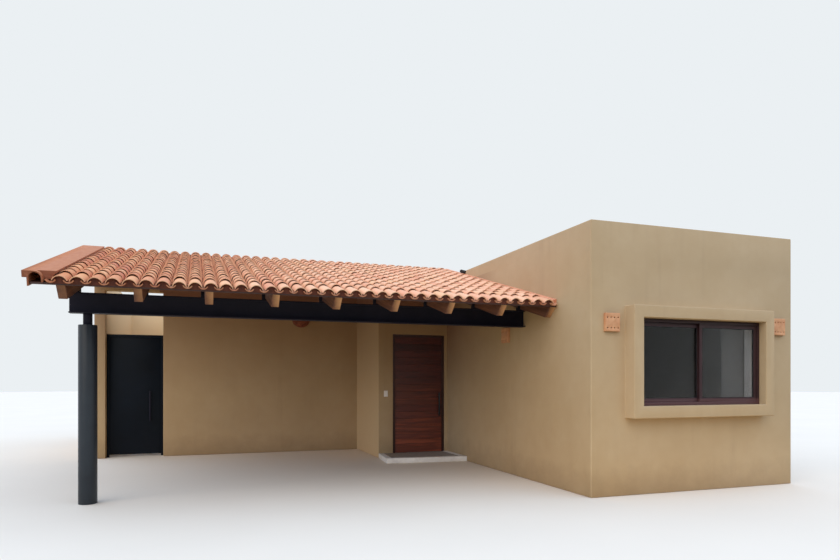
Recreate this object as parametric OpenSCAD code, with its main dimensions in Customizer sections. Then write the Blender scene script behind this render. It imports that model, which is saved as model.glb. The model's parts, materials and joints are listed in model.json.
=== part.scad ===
// Adobe-style house: a rendered front room with one boxed window, a tiled carport
// roof on a steel beam, an entry set back under it and a gated side passage.
// In plan, (0, 0) is the front-left ground corner of the front room. +X runs right
// along the front wall, +Y runs back into the house and +Z is up.
// The whole house is then centred on its footprint, with the ground at z = 0.

/* [Walls] */
// Thickness of each rendered masonry wall
wall_t = 200; // [160:10:240]
// Height of the walls and parapets
wall_h = 3690; // [3660:10:4200]
// Width of the front room, outside its walls
room_w = 3550; // [3300:10:4500]
// Distance from the front wall back to the entry wall
entry_y = 5060; // [4900:10:6000]
// Width of the entry box that stands beside the front room
entry_w = 1485; // [1430:5:1580]
// Distance from the entry wall back to the carport's back wall
entry_d = 1790; // [1400:10:2500]
// Width of the carport, from the front room to the passage
bay_w = 5562; // [5300:2:6200]
// Clear width of the side passage
passage_w = 1070; // [900:10:1500]
// Depth of the whole house, outside its walls
house_d = 12400; // [11000:100:16000]

/* [Floor and flat roofs] */
// Height of the floor above the ground
floor_h = 85; // [60:5:150]
// Thickness of the flat roofs behind the parapets
roof_t = 150; // [120:10:220]
// Height of the parapets above the flat roofs
parapet_h = 340; // [200:10:500]

/* [Window] */
// Width of the window opening
window_w = 2140; // [1600:10:2400]
// Height of the window opening
window_h = 1190; // [900:10:1400]
// Height of the window's sill above the ground
sill_h = 1210; // [900:10:1300]
// Distance from the room's left corner to the window opening
window_x = 700; // [500:10:900]
// Width of the rendered band around the window
band_w = 159; // [100:1:200]
// Height of the rendered band above and under the window
band_h = 164; // [100:1:220]
// How far the rendered band stands out from the wall
band_out = 195; // [120:5:300]
// How far the window frame sits behind the band's face
frame_setback = 120; // [60:5:180]
// Face width of the window frame
frame_w = 45; // [30:1:70]
// Depth of the window frame
frame_t = 90; // [70:1:110]
// Face width of a sash's bars
sash_w = 55; // [35:1:80]
// Depth of a sash
sash_t = 36; // [24:1:40]
// Thickness of the glass
glass_t = 8; // [4:1:12]

/* [Carport roof] */
// Distance of the boards' free edge from the outside of the passage's outer wall
verge_inset = 192; // [40:1:400]
// Height of the parapets above the flat slabs behind the tiles
slab_drop = 58; // [20:1:300]
// Height of the upstand beam above the flat slab, where the rafters end
upstand_h = 125; // [60:1:300]
// Distance from the front wall back to the eave
eave_y = 820; // [600:10:1100]
// Distance from the front wall back to the upstand beam at the top of the tiles
slab_y = 5060; // [4800:10:5400]
// Distance from the front wall back to the porch slab before the door
porch_y = 4130; // [3900:10:4300]
// Thickness of the flat slabs behind the tiles
slab_t = 150; // [120:5:200]
// Depth of the edge beams under the flat slabs
edge_beam_h = 150; // [100:5:250]
// Width of the edge beams under the flat slabs
edge_beam_w = 200; // [150:10:300]
// How far the carport's tiles lap over the upstand beam
top_lap = 60; // [0:5:120]
// Width of the masonry cheek between the two parts of the tiled roof
cheek_w = 120; // [80:10:200]

/* [Rafters] */
// Number of rafters
rafter_count = 9; // [6:1:12]
// Width of a rafter
rafter_w = 95; // [70:1:130]
// Height of a rafter, measured straight up
rafter_h = 177; // [140:1:220]
// Distance from the front wall back to the lower corner of the rafters' ends
rafter_y = 1015; // [950:5:1200]
// How far a rafter's upper corner stands out past its lower corner
tail_cut = 150; // [0:5:160]
// How far the boards pass the first rafter at the free edge
verge_overhang = 250; // [150:5:400]
// Height of the steel seat between beam and rafter
seat_h = 42; // [30:1:80]
// Height of the steel cleat beside each rafter
cleat_h = 110; // [90:1:150]
// Width of each leg of a cleat
cleat_w = 45; // [30:1:60]
// Thickness of the cleats
cleat_t = 6; // [4:1:10]
// Thickness of the roof boards
board_t = 26; // [18:1:40]
// How far the tiles pass the boards at the eave
tile_drip = 25; // [0:5:60]

/* [Tiles] */
// Distance between two rows of cover tiles
tile_pitch = 176.6; // [160:0.2:200]
// Outer radius of a cover tile
cover_r = 80; // [60:1:80]
// Thickness of the clay
clay_t = 14; // [10:1:20]
// Height of the cover tiles' centre line above the boards
cover_rise = 32; // [24:1:50]
// Outer radius of the verge barrel
verge_r = 76; // [60:1:90]
// Height of the verge barrel's centre line above the boards
verge_rise = 48; // [40:1:70]
// How far the verge barrel hangs over the boards' edge
verge_hang = 45; // [30:1:80]
// Distance from the boards' edge to the outside of the verge barrel
verge_gap = 20; // [18:1:40]
// How far the mortar cap stands out past the verge barrel
verge_ledge = 45; // [20:1:80]
// Thickness of the mortar cap at its free edge
cap_t = 75; // [40:1:90]
// Length of the verge's eave tile, where the barrel and its pan lie open
verge_open = 75; // [40:5:200]
// Distance from the upstand beam down to the upper end of the verge's tiles
verge_short = 290; // [60:10:600]

/* [Steel beam and column] */
// Distance from the front wall back to the beam's web
beam_y = 1828; // [1600:1:2200]
// Height of the beam's underside
beam_z = 2402; // [2300:1:2450]
// Height of the beam
beam_h = 258; // [200:1:300]
// Width of the beam's flanges
beam_w = 146; // [100:1:200]
// Thickness of the beam's flanges
flange_t = 13; // [8:1:20]
// Thickness of the beam's web
web_t = 9; // [6:1:14]
// How far the beam's end stays behind the boards' edge
beam_setback = 220; // [150:5:300]
// Diameter of the column
column_d = 219; // [150:1:260]
// Distance from the beam's end to the column's centre
column_inset = 209; // [140:1:260]
// Height of the thin neck between column and beam
neck_h = 146; // [60:1:200]
// Diameter of the neck
neck_d = 108; // [60:1:130]

/* [Door] */
// Width of the door opening
door_w = 1113; // [900:1:1200]
// Height of the door opening above the ground
door_h = 2490; // [2200:10:2600]
// Distance from the front room's side wall to the door opening
door_margin = 67; // [40:1:120]
// Face width of the door frame
door_frame_w = 40; // [30:1:70]
// Depth of the door frame
door_frame_t = 65; // [60:1:100]
// How far the door frame sits behind the wall's face
door_setback = 20; // [0:5:60]
// Thickness of the door
door_t = 45; // [38:1:50]
// Running gap around the door and the gate
leaf_gap = 8; // [6:1:12]
// Length of the door's pull handle
door_pull_l = 480; // [300:10:900]
// Height of the middle of the door's pull handle
door_pull_z = 1065; // [900:5:1300]

/* [Gate] */
// Height of the gate, with its frame
gate_h = 2494; // [2200:2:2600]
// Height of the gateway's lintel
gate_lintel_h = 327; // [200:1:600]
// Distance of the gate's face behind the carport's back wall face
gate_setback = 180; // [40:5:400]
// Face width of the gate's frame
gate_frame_w = 40; // [30:1:60]
// Depth of the gate's frame
gate_frame_t = 60; // [50:1:80]
// Thickness of the gate
gate_t = 38; // [25:1:40]
// Gap under the gate
gate_lift = 45; // [20:5:80]
// Length of the gate's pull handle
gate_pull_l = 620; // [300:10:900]
// Height of the middle of the gate's pull handle
gate_pull_z = 1030; // [900:5:1300]
// Distance from the gate's frame to its pull handle
gate_pull_inset = 218; // [80:1:300]

/* [Hinges and handles] */
// Radius of the hinge knuckles
knuckle_r = 9; // [6:1:12]
// Height of one hinge knuckle
knuckle_h = 50; // [30:1:70]
// Distance of the end hinges from a leaf's top and bottom
hinge_inset = 250; // [150:10:400]
// Thickness of the hinge plates
plate_t = 4; // [3:1:6]
// Diameter of the pull handles
pull_d = 38; // [20:1:45]
// Clear space between a pull handle and its leaf
pull_out = 45; // [35:1:70]
// Distance from the edge of the door to its pull handle
door_pull_inset = 72; // [50:1:120]

/* [Step and small pieces] */
// Width of the entry step along the entry wall
step_w = 1480; // [1200:10:1700]
// Depth of the entry step
step_d = 860; // [400:10:1000]
// Angle between the step's front edge and the entry wall
step_turn = 5.5; // [0:0.5:8]
// Height of the entry step
step_h = 95; // [60:5:150]
// Width of the step's raised rim
step_rim = 110; // [60:5:160]
// Depth of the step's sunk field
step_sink = 4; // [2:1:10]
// Width of a box lamp
lamp_w = 225; // [180:5:300]
// Height of a box lamp
lamp_h = 246; // [180:1:300]
// How far a box lamp stands out
lamp_out = 50; // [40:5:150]
// Thickness of the lamps' clay
lamp_t = 15; // [10:1:20]
// Height of the left box lamp's lower edge
left_lamp_z = 2210; // [1900:1:2400]
// Height of the right box lamp's lower edge
right_lamp_z = 2229; // [1900:1:2400]
// Height of the side wall's lamp's lower edge
side_lamp_z = 2187; // [1900:1:2400]
// Distance from the front wall's left end to the middle of its left lamp
left_lamp_x = 310; // [250:5:400]
// Distance from the front wall's right end to the middle of its right lamp
right_lamp_inset = 286; // [200:1:400]
// Distance from the front wall back to the lamp on the side wall
side_lamp_y = 2390; // [2150:10:3500]
// Radius of the half-bowl lamp
bowl_r = 200; // [140:5:240]
// Height of the half-bowl lamp's lowest point
bowl_z = 2720; // [2300:10:2900]
// Distance from the front room's side to the half-bowl lamp's middle
bowl_x = 2750; // [2000:10:3500]
// Width of the switch plate
plate_w = 80; // [60:1:120]
// Height of the switch plate
plate_h = 120; // [80:1:160]
// Height of the switch plate's middle
plate_z = 1290; // [1000:10:1500]

/* [Hidden] */
$fn = 48;

render_colour = [0.70, 0.60, 0.46];
steel_colour = [0.10, 0.11, 0.13];
clay_colour = [0.80, 0.52, 0.38];
wood_colour = [0.55, 0.37, 0.22];

// Lines of the plan
west_x = -(bay_w + passage_w + wall_t);
east_x = room_w;
back_y = entry_y + entry_d;
front_y = -band_out;
rear_y = house_d + band_out;
mid_x = (west_x + east_x) / 2;
mid_y = (front_y + rear_y) / 2;

// The unseen rear wall repeats the front window twice
rear_windows = [window_x, -bay_w / 2 - window_w / 2];
fine = 0.3;

// The tiled roof climbs from the seats on the beam to the top of the upstand beam.
// Heights along it: rafter underside, rafter top and board top.
roof_w = -west_x - verge_inset;
beam_top = beam_z + beam_h;
slab_top = wall_h - slab_drop;
slab_z = slab_top - slab_t;
upstand_top = slab_top + upstand_h;
slope = (upstand_top - rafter_h - seat_h - beam_top) / (slab_y - beam_y);
roof_slope = atan(slope);
function rafter_low(y) = beam_top + seat_h + slope * (y - beam_y);
function rafter_top(y) = rafter_low(y) + rafter_h;
function board_top(y) = rafter_top(y) + board_t;

// Rows of cover tiles: whole rows fill the porch, and the rest run to the verge
porch_rows = floor(entry_w / tile_pitch);
verge_x = -roof_w - verge_gap + verge_r;
verge_foot = verge_x + verge_r;
bay_rows = floor((-entry_w - verge_foot) / tile_pitch);
first_row = -entry_w - (bay_rows - 0.5) * tile_pitch;

// Rafters stand evenly between the verge overhang and the side wall
rafter_x0 = -roof_w + verge_overhang;
rafter_step = (-rafter_w - rafter_x0) / (rafter_count - 1);

door_x = -door_margin - door_w;
gate_x = west_x + wall_t;
beam_l = roof_w - beam_setback;
column_x = column_inset - beam_l;

// Moves a piece from the plan's corner to the middle of the footprint
module placed() {
    translate([-mid_x, -mid_y, 0]) children();
}

// A block between two opposite corners
module block(low, high) {
    translate(low) cube(high - low);
}

// A solid with a side view in Y and Z, as wide as w along X
module side_profile(x, w) {
    translate([x, 0, 0]) rotate([90, 0, 90]) linear_extrude(w) children();
}

// A solid that runs up the tiled roof from y0 to y1, drawn across the slope:
// across X, and up from just above the boards
module along_roof(y0, y1) {
    run = (y1 - y0) / cos(roof_slope);
    translate([0, y0, board_top(y0) + fine])
        rotate([90 + roof_slope, 0, 0])
            translate([0, 0, -run]) linear_extrude(run) children();
}

// Repeats its child at each window, with the child's origin at the lower-left
// corner of the opening on the wall's face and -Y pointing outdoors
module at_windows() {
    translate([window_x, 0, sill_h]) children();
    for (x = rear_windows)
        translate([x + window_w, house_d, sill_h]) rotate([0, 0, 180]) children();
}

// The clear opening of a window through the wall
module window_hole(depth) {
    translate([0, -band_out - 1, 0]) cube([window_w, depth, window_h]);
}

module floor_slab() {
    color("silver") placed() linear_extrude(floor_h) polygon([
        [wall_t, wall_t], [room_w - wall_t, wall_t],
        [room_w - wall_t, house_d - wall_t],
        [wall_t - bay_w, house_d - wall_t], [wall_t - bay_w, back_y + wall_t],
        [wall_t - entry_w, back_y + wall_t], [wall_t - entry_w, entry_y + wall_t],
        [door_x, entry_y + wall_t], [door_x, entry_y],
        [-door_margin, entry_y], [-door_margin, entry_y + wall_t],
        [wall_t, entry_y + wall_t]
    ]);
}

module front_wall() {
    color(render_colour) placed() difference() {
        block([0, 0, 0], [room_w, wall_t, wall_h]);
        at_windows() window_hole(band_out + wall_t + 2);
    }
}

module side_wall() {
    color(render_colour) placed()
        block([0, wall_t, 0], [wall_t, entry_y + wall_t, wall_h]);
}

module right_wall() {
    color(render_colour) placed()
        block([room_w - wall_t, wall_t, 0], [room_w, house_d - wall_t, wall_h]);
}

module rear_wall() {
    color(render_colour) placed() difference() {
        block([west_x, house_d - wall_t, 0], [east_x, house_d, wall_h]);
        at_windows() window_hole(band_out + wall_t + 2);
    }
}

module passage_inner_wall() {
    color(render_colour) placed()
        block([-bay_w, back_y + wall_t, 0], [wall_t - bay_w, house_d - wall_t, wall_h]);
}

module passage_outer_wall() {
    color(render_colour) placed()
        block([west_x, back_y, 0], [west_x + wall_t, house_d - wall_t, wall_h]);
}

module carport_back_wall() {
    color(render_colour) placed()
        block([-bay_w, back_y, 0], [wall_t - entry_w, back_y + wall_t, wall_h]);
}

module entry_side_wall() {
    color(render_colour) placed()
        block([-entry_w, entry_y + wall_t, 0], [wall_t - entry_w, back_y, wall_h]);
}

module entry_left_jamb() {
    color(render_colour) placed()
        block([-entry_w, entry_y, 0], [door_x, entry_y + wall_t, wall_h]);
}

module entry_right_jamb() {
    color(render_colour) placed()
        block([-door_margin, entry_y, 0], [0, entry_y + wall_t, wall_h]);
}

module entry_lintel() {
    color(render_colour) placed()
        block([door_x, entry_y, door_h], [-door_margin, entry_y + wall_t, wall_h]);
}

module gate_lintel() {
    color(render_colour) placed()
        block([gate_x, back_y, wall_h - gate_lintel_h],
            [-bay_w, back_y + wall_t, wall_h]);
}

// The flat roofs lie between the walls, below the parapets
module flat_roof(low, high) {
    roof_top = wall_h - parapet_h;
    color("darkgray") placed()
        block([low.x, low.y, roof_top - roof_t], [high.x, high.y, roof_top]);
}

module front_roof() {
    flat_roof([wall_t, wall_t], [room_w - wall_t, back_y + wall_t]);
}

module entry_roof() {
    flat_roof([wall_t - entry_w, entry_y + wall_t], [wall_t, back_y + wall_t]);
}

module rear_roof() {
    flat_roof([wall_t - bay_w, back_y + wall_t], [room_w - wall_t, house_d - wall_t]);
}

module carport_slab() {
    color(render_colour) placed()
        block([west_x, slab_y + edge_beam_w, slab_z], [-entry_w, back_y, slab_top]);
}

// The slab before the door, with the masonry cheek that closes the side of the
// carport's boards where they climb past it
module porch_slab() {
    cheek_y = beam_y + (slab_top - rafter_h - seat_h - beam_top - board_t) / slope;
    color(render_colour) placed() union() {
        block([-entry_w, porch_y, slab_z], [0, entry_y, slab_top]);
        side_profile(-entry_w, cheek_w) polygon([
            [max(cheek_y, porch_y), slab_z], [entry_y, slab_z],
            [entry_y, board_top(entry_y)],
            [max(cheek_y, porch_y), board_top(max(cheek_y, porch_y))]
        ]);
    }
}

// The upstand beam that the carport's rafters end against, and the porch's beam
module edge_beams() {
    low = slab_z - edge_beam_h;
    color(render_colour) placed() {
        block([west_x, slab_y, low], [-entry_w, slab_y + edge_beam_w, upstand_top]);
        block([-entry_w, porch_y, low], [0, porch_y + edge_beam_w, slab_z]);
    }
}

module steel_beam() {
    half = beam_w / 2;
    color(steel_colour) placed() translate([0, beam_y, beam_z])
        side_profile(-beam_l, beam_l) difference() {
            translate([-half, 0]) square([beam_w, beam_h]);
            for (side = [0, 1]) mirror([side, 0])
                translate([web_t / 2, flange_t]) square([half, beam_h - 2 * flange_t]);
        }
}

module column() {
    color(steel_colour) placed()
        translate([column_x, beam_y, 0]) cylinder(h = beam_z - neck_h, d = column_d);
}

module column_neck() {
    color(steel_colour) placed()
        translate([column_x, beam_y, beam_z - neck_h]) cylinder(h = neck_h, d = neck_d);
}

// Left face of rafter i, counted from the verge
function rafter_x(i) = rafter_x0 + i * rafter_step;
// Rafters over the porch stop at the porch slab
function rafter_end(i) = rafter_x(i) + rafter_w > -entry_w ? porch_y : slab_y;

// Each rafter's free end is cut back under the eave
module rafters() {
    tip_y = rafter_y - tail_cut;
    color(wood_colour) placed() for (i = [0 : rafter_count - 1])
        side_profile(rafter_x(i), rafter_w) polygon([
            [rafter_y, rafter_low(rafter_y)],
            [rafter_end(i), rafter_low(rafter_end(i))],
            [rafter_end(i), rafter_top(rafter_end(i))],
            [tip_y, rafter_top(tip_y)]
        ]);
}

// A sloped seat under each rafter and an angle cleat against its left face
module rafter_brackets() {
    half = beam_w / 2;
    front = beam_y - half;
    color(steel_colour) placed() for (i = [0 : rafter_count - 1]) {
        side_profile(rafter_x(i), rafter_w) polygon([
            [front, beam_top], [beam_y + half, beam_top],
            [beam_y + half, rafter_low(beam_y + half) - fine],
            [front, rafter_low(front) - fine]
        ]);
        translate([rafter_x(i), front, beam_top]) {
            translate([-cleat_t, 0, 0]) cube([cleat_t, cleat_w, cleat_h]);
            translate([-cleat_w, 0, 0]) cube([cleat_w, cleat_t, cleat_h]);
        }
    }
}

module boards(x0, x1, y1) {
    y0 = eave_y + tile_drip;
    color(wood_colour) placed() side_profile(x0, x1 - x0) polygon([
        [y0, rafter_top(y0) + fine], [y1, rafter_top(y1) + fine],
        [y1, board_top(y1)], [y0, board_top(y0)]
    ]);
}

module carport_boards() {
    boards(-roof_w, -entry_w, slab_y);
}

module porch_boards() {
    boards(-entry_w, 0, porch_y);
}

// Points of an arc about a centre, from angle a0 to a1
function arc(centre, r, a0, a1, steps) =
    [for (i = [0 : steps])
        let (a = a0 + (a1 - a0) * i / steps)
            centre + r * [cos(a), sin(a)]];

// Section through rows of pan and cover tiles between two lines: arched cover
// tiles outside, hollow vaults inside, and pans with their mortar between them
module tile_section(x0, x1, first, rows) {
    inner_r = cover_r - clay_t;
    centres = [for (i = [0 : rows - 1]) [first + i * tile_pitch, cover_rise]];
    top = [for (c = centres) each arc(c, cover_r, 180, 0, 10)];
    vaults = [for (i = [rows - 1 : -1 : 0]) let (c = centres[i]) each concat(
        [[c.x + inner_r, 0]], arc(c, inner_r, 0, 180, 8), [[c.x - inner_r, 0]])];
    polygon(concat([[x0, 0], [x0, cover_rise]], top,
        [[x1, cover_rise], [x1, 0]], vaults));
}

module carport_tiles() {
    color(clay_colour) placed() along_roof(eave_y, slab_y + top_lap)
        tile_section(verge_foot, -entry_w, first_row, bay_rows);
}

module porch_tiles() {
    color(clay_colour) placed() along_roof(eave_y, porch_y)
        tile_section(-entry_w, 0, -entry_w + tile_pitch / 2, porch_rows);
}

// Section through the verge barrel, which hangs over the boards' free edge by
// the height hang, with the mortar ledge on its outer side
module verge_section(hang) {
    inner_r = verge_r - clay_t;
    c = [verge_x, verge_rise];
    crown = verge_rise + verge_r;
    outside = verge_x - verge_r;
    polygon(concat([
        [outside, -hang], [outside, crown - cap_t],
        [outside - verge_ledge, crown - cap_t], [outside - verge_ledge, crown]
    ], arc(c, verge_r, 90, 0, 6), [
        [verge_foot, 0], [verge_x + inner_r, 0]
    ], arc(c, inner_r, 0, 180, 8), [
        [verge_x - inner_r, -hang]
    ]));
}

// Section through the mortar cap, from the verge barrel to the first cover tile
module cap_section() {
    crown = verge_rise + verge_r;
    low = cover_rise + fine;
    polygon(concat([
        [verge_x, crown], [verge_x, crown - clay_t / 2], [verge_x + verge_r / 2, low],
    ], arc([first_row, low], cover_r + fine, 180, 126, 3), [
        [first_row - cover_r / 2, crown]
    ]));
}

// The verge barrel ends a little before the upstand beam. From the eave tile up, a
// mortar cap covers it and the pan beside it.
module verge_tiles() {
    cap_y = eave_y + verge_open;
    top_y = slab_y - verge_short;
    color(clay_colour) placed() union() {
        along_roof(eave_y, top_y) verge_section(verge_hang);
        difference() {
            along_roof(cap_y, top_y) cap_section();
            along_roof(cap_y - 1, top_y + 1) translate([verge_x, verge_rise])
                circle(verge_r - clay_t / 2);
        }
    }
}

// A rendered box band around each window opening
module window_surrounds() {
    color(render_colour) placed() at_windows() difference() {
        block([-band_w, -band_out, -band_h],
            [window_w + band_w, 0, window_h + band_h]);
        window_hole(band_out + 2);
    }
}

frame_y = frame_setback - band_out;

module window_frames() {
    color([0.16, 0.07, 0.06]) placed() at_windows() difference() {
        block([0, frame_y, 0], [window_w, frame_y + frame_t, window_h]);
        block([frame_w, frame_y - 1, frame_w],
            [window_w - frame_w, frame_y + frame_t + 1, window_h - frame_w]);
    }
}

// The two sashes run in two tracks and overlap by one bar in the middle
clear_w = window_w - 2 * frame_w;
clear_h = window_h - 2 * frame_w;
sash_l = (clear_w + sash_w) / 2;
track_y = [frame_y + frame_t / 2 - sash_t - 1, frame_y + frame_t / 2 + 1];

module at_sashes() {
    translate([window_w - frame_w - sash_l, track_y[0], frame_w]) children();
    translate([frame_w, track_y[1], frame_w]) children();
}

module window_sashes() {
    color([0.16, 0.07, 0.06]) placed() at_windows() at_sashes() difference() {
        cube([sash_l, sash_t, clear_h]);
        translate([sash_w, -1, sash_w])
            cube([sash_l - 2 * sash_w, sash_t + 2, clear_h - 2 * sash_w]);
    }
}

module window_glass() {
    color([0.35, 0.42, 0.45, 0.5]) placed() at_windows() at_sashes()
        translate([sash_w, (sash_t - glass_t) / 2, sash_w])
            cube([sash_l - 2 * sash_w, glass_t, clear_h - 2 * sash_w]);
}

// A portal frame with a stop in front of its leaf, without a threshold.
// Its origin is the opening's lower left corner on the frame's front face.
module portal(w, h, face, depth, leaf_t, low) {
    stop = face + leaf_gap + 4;
    difference() {
        cube([w, depth, h]);
        translate([face, depth - leaf_t - leaf_gap, low - 1])
            cube([w - 2 * face, leaf_t + leaf_gap + 1, h - face - low + 1]);
        translate([stop, -1, low - 1])
            cube([w - 2 * stop, depth + 2, h - stop - low + 1]);
    }
}

// Hinge positions from the bottom of a leaf
function hinge_zs(h) = [hinge_inset, h / 2, h - hinge_inset];

// Knuckles and plates behind a leaf's hinged edge. side is -1 for the half on
// the frame, and 1 for the half on the leaf, which turns on top of it.
module knuckles(h, side) {
    for (z = hinge_zs(h)) translate([0, 0, z + (side > 0 ? fine : -knuckle_h)]) {
        cylinder(h = knuckle_h, r = knuckle_r);
        translate([side > 0 ? 0 : -3 * knuckle_r, -knuckle_r, 0])
            cube([3 * knuckle_r, plate_t, knuckle_h]);
    }
}

// A vertical pull bar on two stand-offs, with its origin on the leaf's face
module pull(length) {
    reach = pull_out + pull_d / 2;
    translate([0, -reach, -length / 2]) cylinder(h = length, d = pull_d);
    for (z = [-1, 1]) translate([0, 0, z * (length / 2 - 60)])
        rotate([90, 0, 0]) cylinder(h = reach, d = pull_d / 2);
}

// Door: the leaf's lower left front corner, its size and its hinge line
door_low = floor_h + leaf_gap;
door_leaf = [door_w - 2 * (door_frame_w + leaf_gap), door_t,
    door_h - door_frame_w - leaf_gap - door_low];
door_rear = entry_y + door_setback + door_frame_t;
door_pos = [door_x + door_frame_w + leaf_gap, door_rear - door_t, door_low];
door_axis = [door_pos.x - leaf_gap / 2, door_rear + knuckle_r, door_low];

module door_frame() {
    color([0.13, 0.06, 0.05]) placed() {
        translate([door_x, entry_y + door_setback, floor_h])
            portal(door_w, door_h - floor_h, door_frame_w, door_frame_t, door_t, 0);
        translate(door_axis) knuckles(door_leaf.z, -1);
    }
}

module front_door() {
    color([0.24, 0.11, 0.08]) placed() {
        translate(door_pos) cube(door_leaf);
        translate(door_axis) knuckles(door_leaf.z, 1);
    }
}

module door_handle() {
    color(steel_colour) placed()
        translate([door_pos.x + door_leaf.x - door_pull_inset, door_pos.y, door_pull_z])
            pull(door_pull_l);
}

// Gate: the same parts in steel, between the two walls of the passage
gate_leaf = [passage_w - 2 * (gate_frame_w + leaf_gap), gate_t,
    gate_h - gate_frame_w - leaf_gap - gate_lift];
gate_rear = back_y + gate_setback + gate_frame_t;
gate_pos = [gate_x + gate_frame_w + leaf_gap, gate_rear - gate_t, gate_lift];
gate_axis = [gate_pos.x - leaf_gap / 2, gate_rear + knuckle_r, gate_lift];

module gate_frame() {
    color(steel_colour) placed() {
        translate([gate_x, back_y + gate_setback, 0])
            portal(passage_w, gate_h, gate_frame_w, gate_frame_t, gate_t, 0);
        translate(gate_axis) knuckles(gate_leaf.z, -1);
    }
}

module gate() {
    color([0.09, 0.10, 0.12]) placed() {
        translate(gate_pos) cube(gate_leaf);
        translate(gate_axis) knuckles(gate_leaf.z, 1);
    }
}

module gate_handle() {
    color(steel_colour) placed()
        translate([-bay_w - gate_frame_w - gate_pull_inset, gate_pos.y, gate_pull_z])
            pull(gate_pull_l);
}

// The step is laid a little askew, so its front edge comes closer at the side wall.
// Its free corner and the end of its front edge follow from that turn.
module entry_step() {
    inward = [sin(step_turn), cos(step_turn)];
    sideways = [cos(step_turn), -sin(step_turn)];
    corner = [-step_w, entry_y] - step_d * inward;
    front_end = corner.y + corner.x * tan(step_turn);
    inner = corner + step_rim * (inward + sideways);
    inner_end = front_end + step_rim / cos(step_turn) + step_rim * tan(step_turn);
    color([0.66, 0.64, 0.60]) placed() difference() {
        linear_extrude(step_h) polygon([
            [-step_w, entry_y], corner, [0, front_end], [0, entry_y]
        ]);
        translate([0, 0, step_h - step_sink]) linear_extrude(step_sink + 1) polygon([
            inner + step_d * inward, inner, [-step_rim, inner_end],
            [-step_rim, entry_y + step_rim]
        ]);
    }
}

// A clay box on the wall, open above, below and behind
module box_lamp() {
    translate([-lamp_w / 2, -lamp_out, 0]) difference() {
        cube([lamp_w, lamp_out, lamp_h]);
        translate([lamp_t, lamp_t, -1])
            cube([lamp_w - 2 * lamp_t, lamp_out, lamp_h + 2]);
    }
}

module box_lamps() {
    color(clay_colour) placed() {
        translate([left_lamp_x, 0, left_lamp_z]) box_lamp();
        translate([room_w - right_lamp_inset, 0, right_lamp_z]) box_lamp();
        translate([0, side_lamp_y, side_lamp_z]) rotate([0, 0, -90]) box_lamp();
    }
}

// A quarter-sphere clay bowl on the wall, open above
module bowl_lamp() {
    color(clay_colour) placed() translate([-bowl_x, back_y, bowl_z + bowl_r])
        rotate([0, 0, 180]) rotate_extrude(angle = 180) intersection() {
            difference() {
                circle(bowl_r);
                circle(bowl_r - lamp_t);
            }
            translate([0, -bowl_r]) square(bowl_r);
        }
}

module switch_plate() {
    thick = 10;
    x = (-entry_w + door_x) / 2 - plate_w / 2;
    color("white") placed()
        translate([x, entry_y - thick, plate_z - plate_h / 2])
            cube([plate_w, thick, plate_h]);
}

floor_slab();
front_wall();
side_wall();
right_wall();
rear_wall();
passage_inner_wall();
passage_outer_wall();
carport_back_wall();
entry_side_wall();
entry_left_jamb();
entry_right_jamb();
entry_lintel();
gate_lintel();
front_roof();
entry_roof();
rear_roof();
carport_slab();
porch_slab();
edge_beams();
steel_beam();
column();
column_neck();
rafters();
rafter_brackets();
carport_boards();
porch_boards();
carport_tiles();
porch_tiles();
verge_tiles();
window_surrounds();
window_frames();
window_sashes();
window_glass();
door_frame();
front_door();
door_handle();
gate_frame();
gate();
gate_handle();
entry_step();
box_lamps();
bowl_lamp();
switch_plate();
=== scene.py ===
# %% [markdown]
# A rendered masonry house with a tiled carport roof.
# The CAD model already holds every wall, rafter and hinge in metres, so each piece
# here is placed from it. This file adds what a camera sees first: the soft edges of
# the render coat, single clay tiles and boards, grain, dust and daylight.

# %% Load the frame
import json
import math

import bmesh
import bpy
from mathutils import Matrix, Vector

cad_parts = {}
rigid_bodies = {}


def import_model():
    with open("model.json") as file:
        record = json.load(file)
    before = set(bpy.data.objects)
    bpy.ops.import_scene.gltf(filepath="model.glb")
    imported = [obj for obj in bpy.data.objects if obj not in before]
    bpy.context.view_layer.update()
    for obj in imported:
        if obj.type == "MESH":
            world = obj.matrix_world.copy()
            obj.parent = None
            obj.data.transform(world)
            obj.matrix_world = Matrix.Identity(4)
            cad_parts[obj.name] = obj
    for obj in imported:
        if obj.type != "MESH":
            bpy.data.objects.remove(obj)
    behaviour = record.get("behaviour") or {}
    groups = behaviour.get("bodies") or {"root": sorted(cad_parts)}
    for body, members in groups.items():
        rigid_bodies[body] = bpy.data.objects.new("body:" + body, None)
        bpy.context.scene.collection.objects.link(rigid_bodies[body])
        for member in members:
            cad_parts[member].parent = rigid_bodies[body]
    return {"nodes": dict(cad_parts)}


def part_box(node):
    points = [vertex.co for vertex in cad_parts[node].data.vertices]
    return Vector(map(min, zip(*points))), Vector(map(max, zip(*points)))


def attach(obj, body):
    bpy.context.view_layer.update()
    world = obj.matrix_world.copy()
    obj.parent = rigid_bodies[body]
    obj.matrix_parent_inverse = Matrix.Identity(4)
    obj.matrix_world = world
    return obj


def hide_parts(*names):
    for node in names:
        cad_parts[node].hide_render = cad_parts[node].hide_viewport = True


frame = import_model()
scene = bpy.context.scene
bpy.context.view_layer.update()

# %% [markdown]
# The photograph is taken at eye height, with the camera level and its lens shifted up,
# because upright edges stay parallel in it. The eye's place and turn come from the
# edges of the front room, whose size the CAD model knows.

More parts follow.
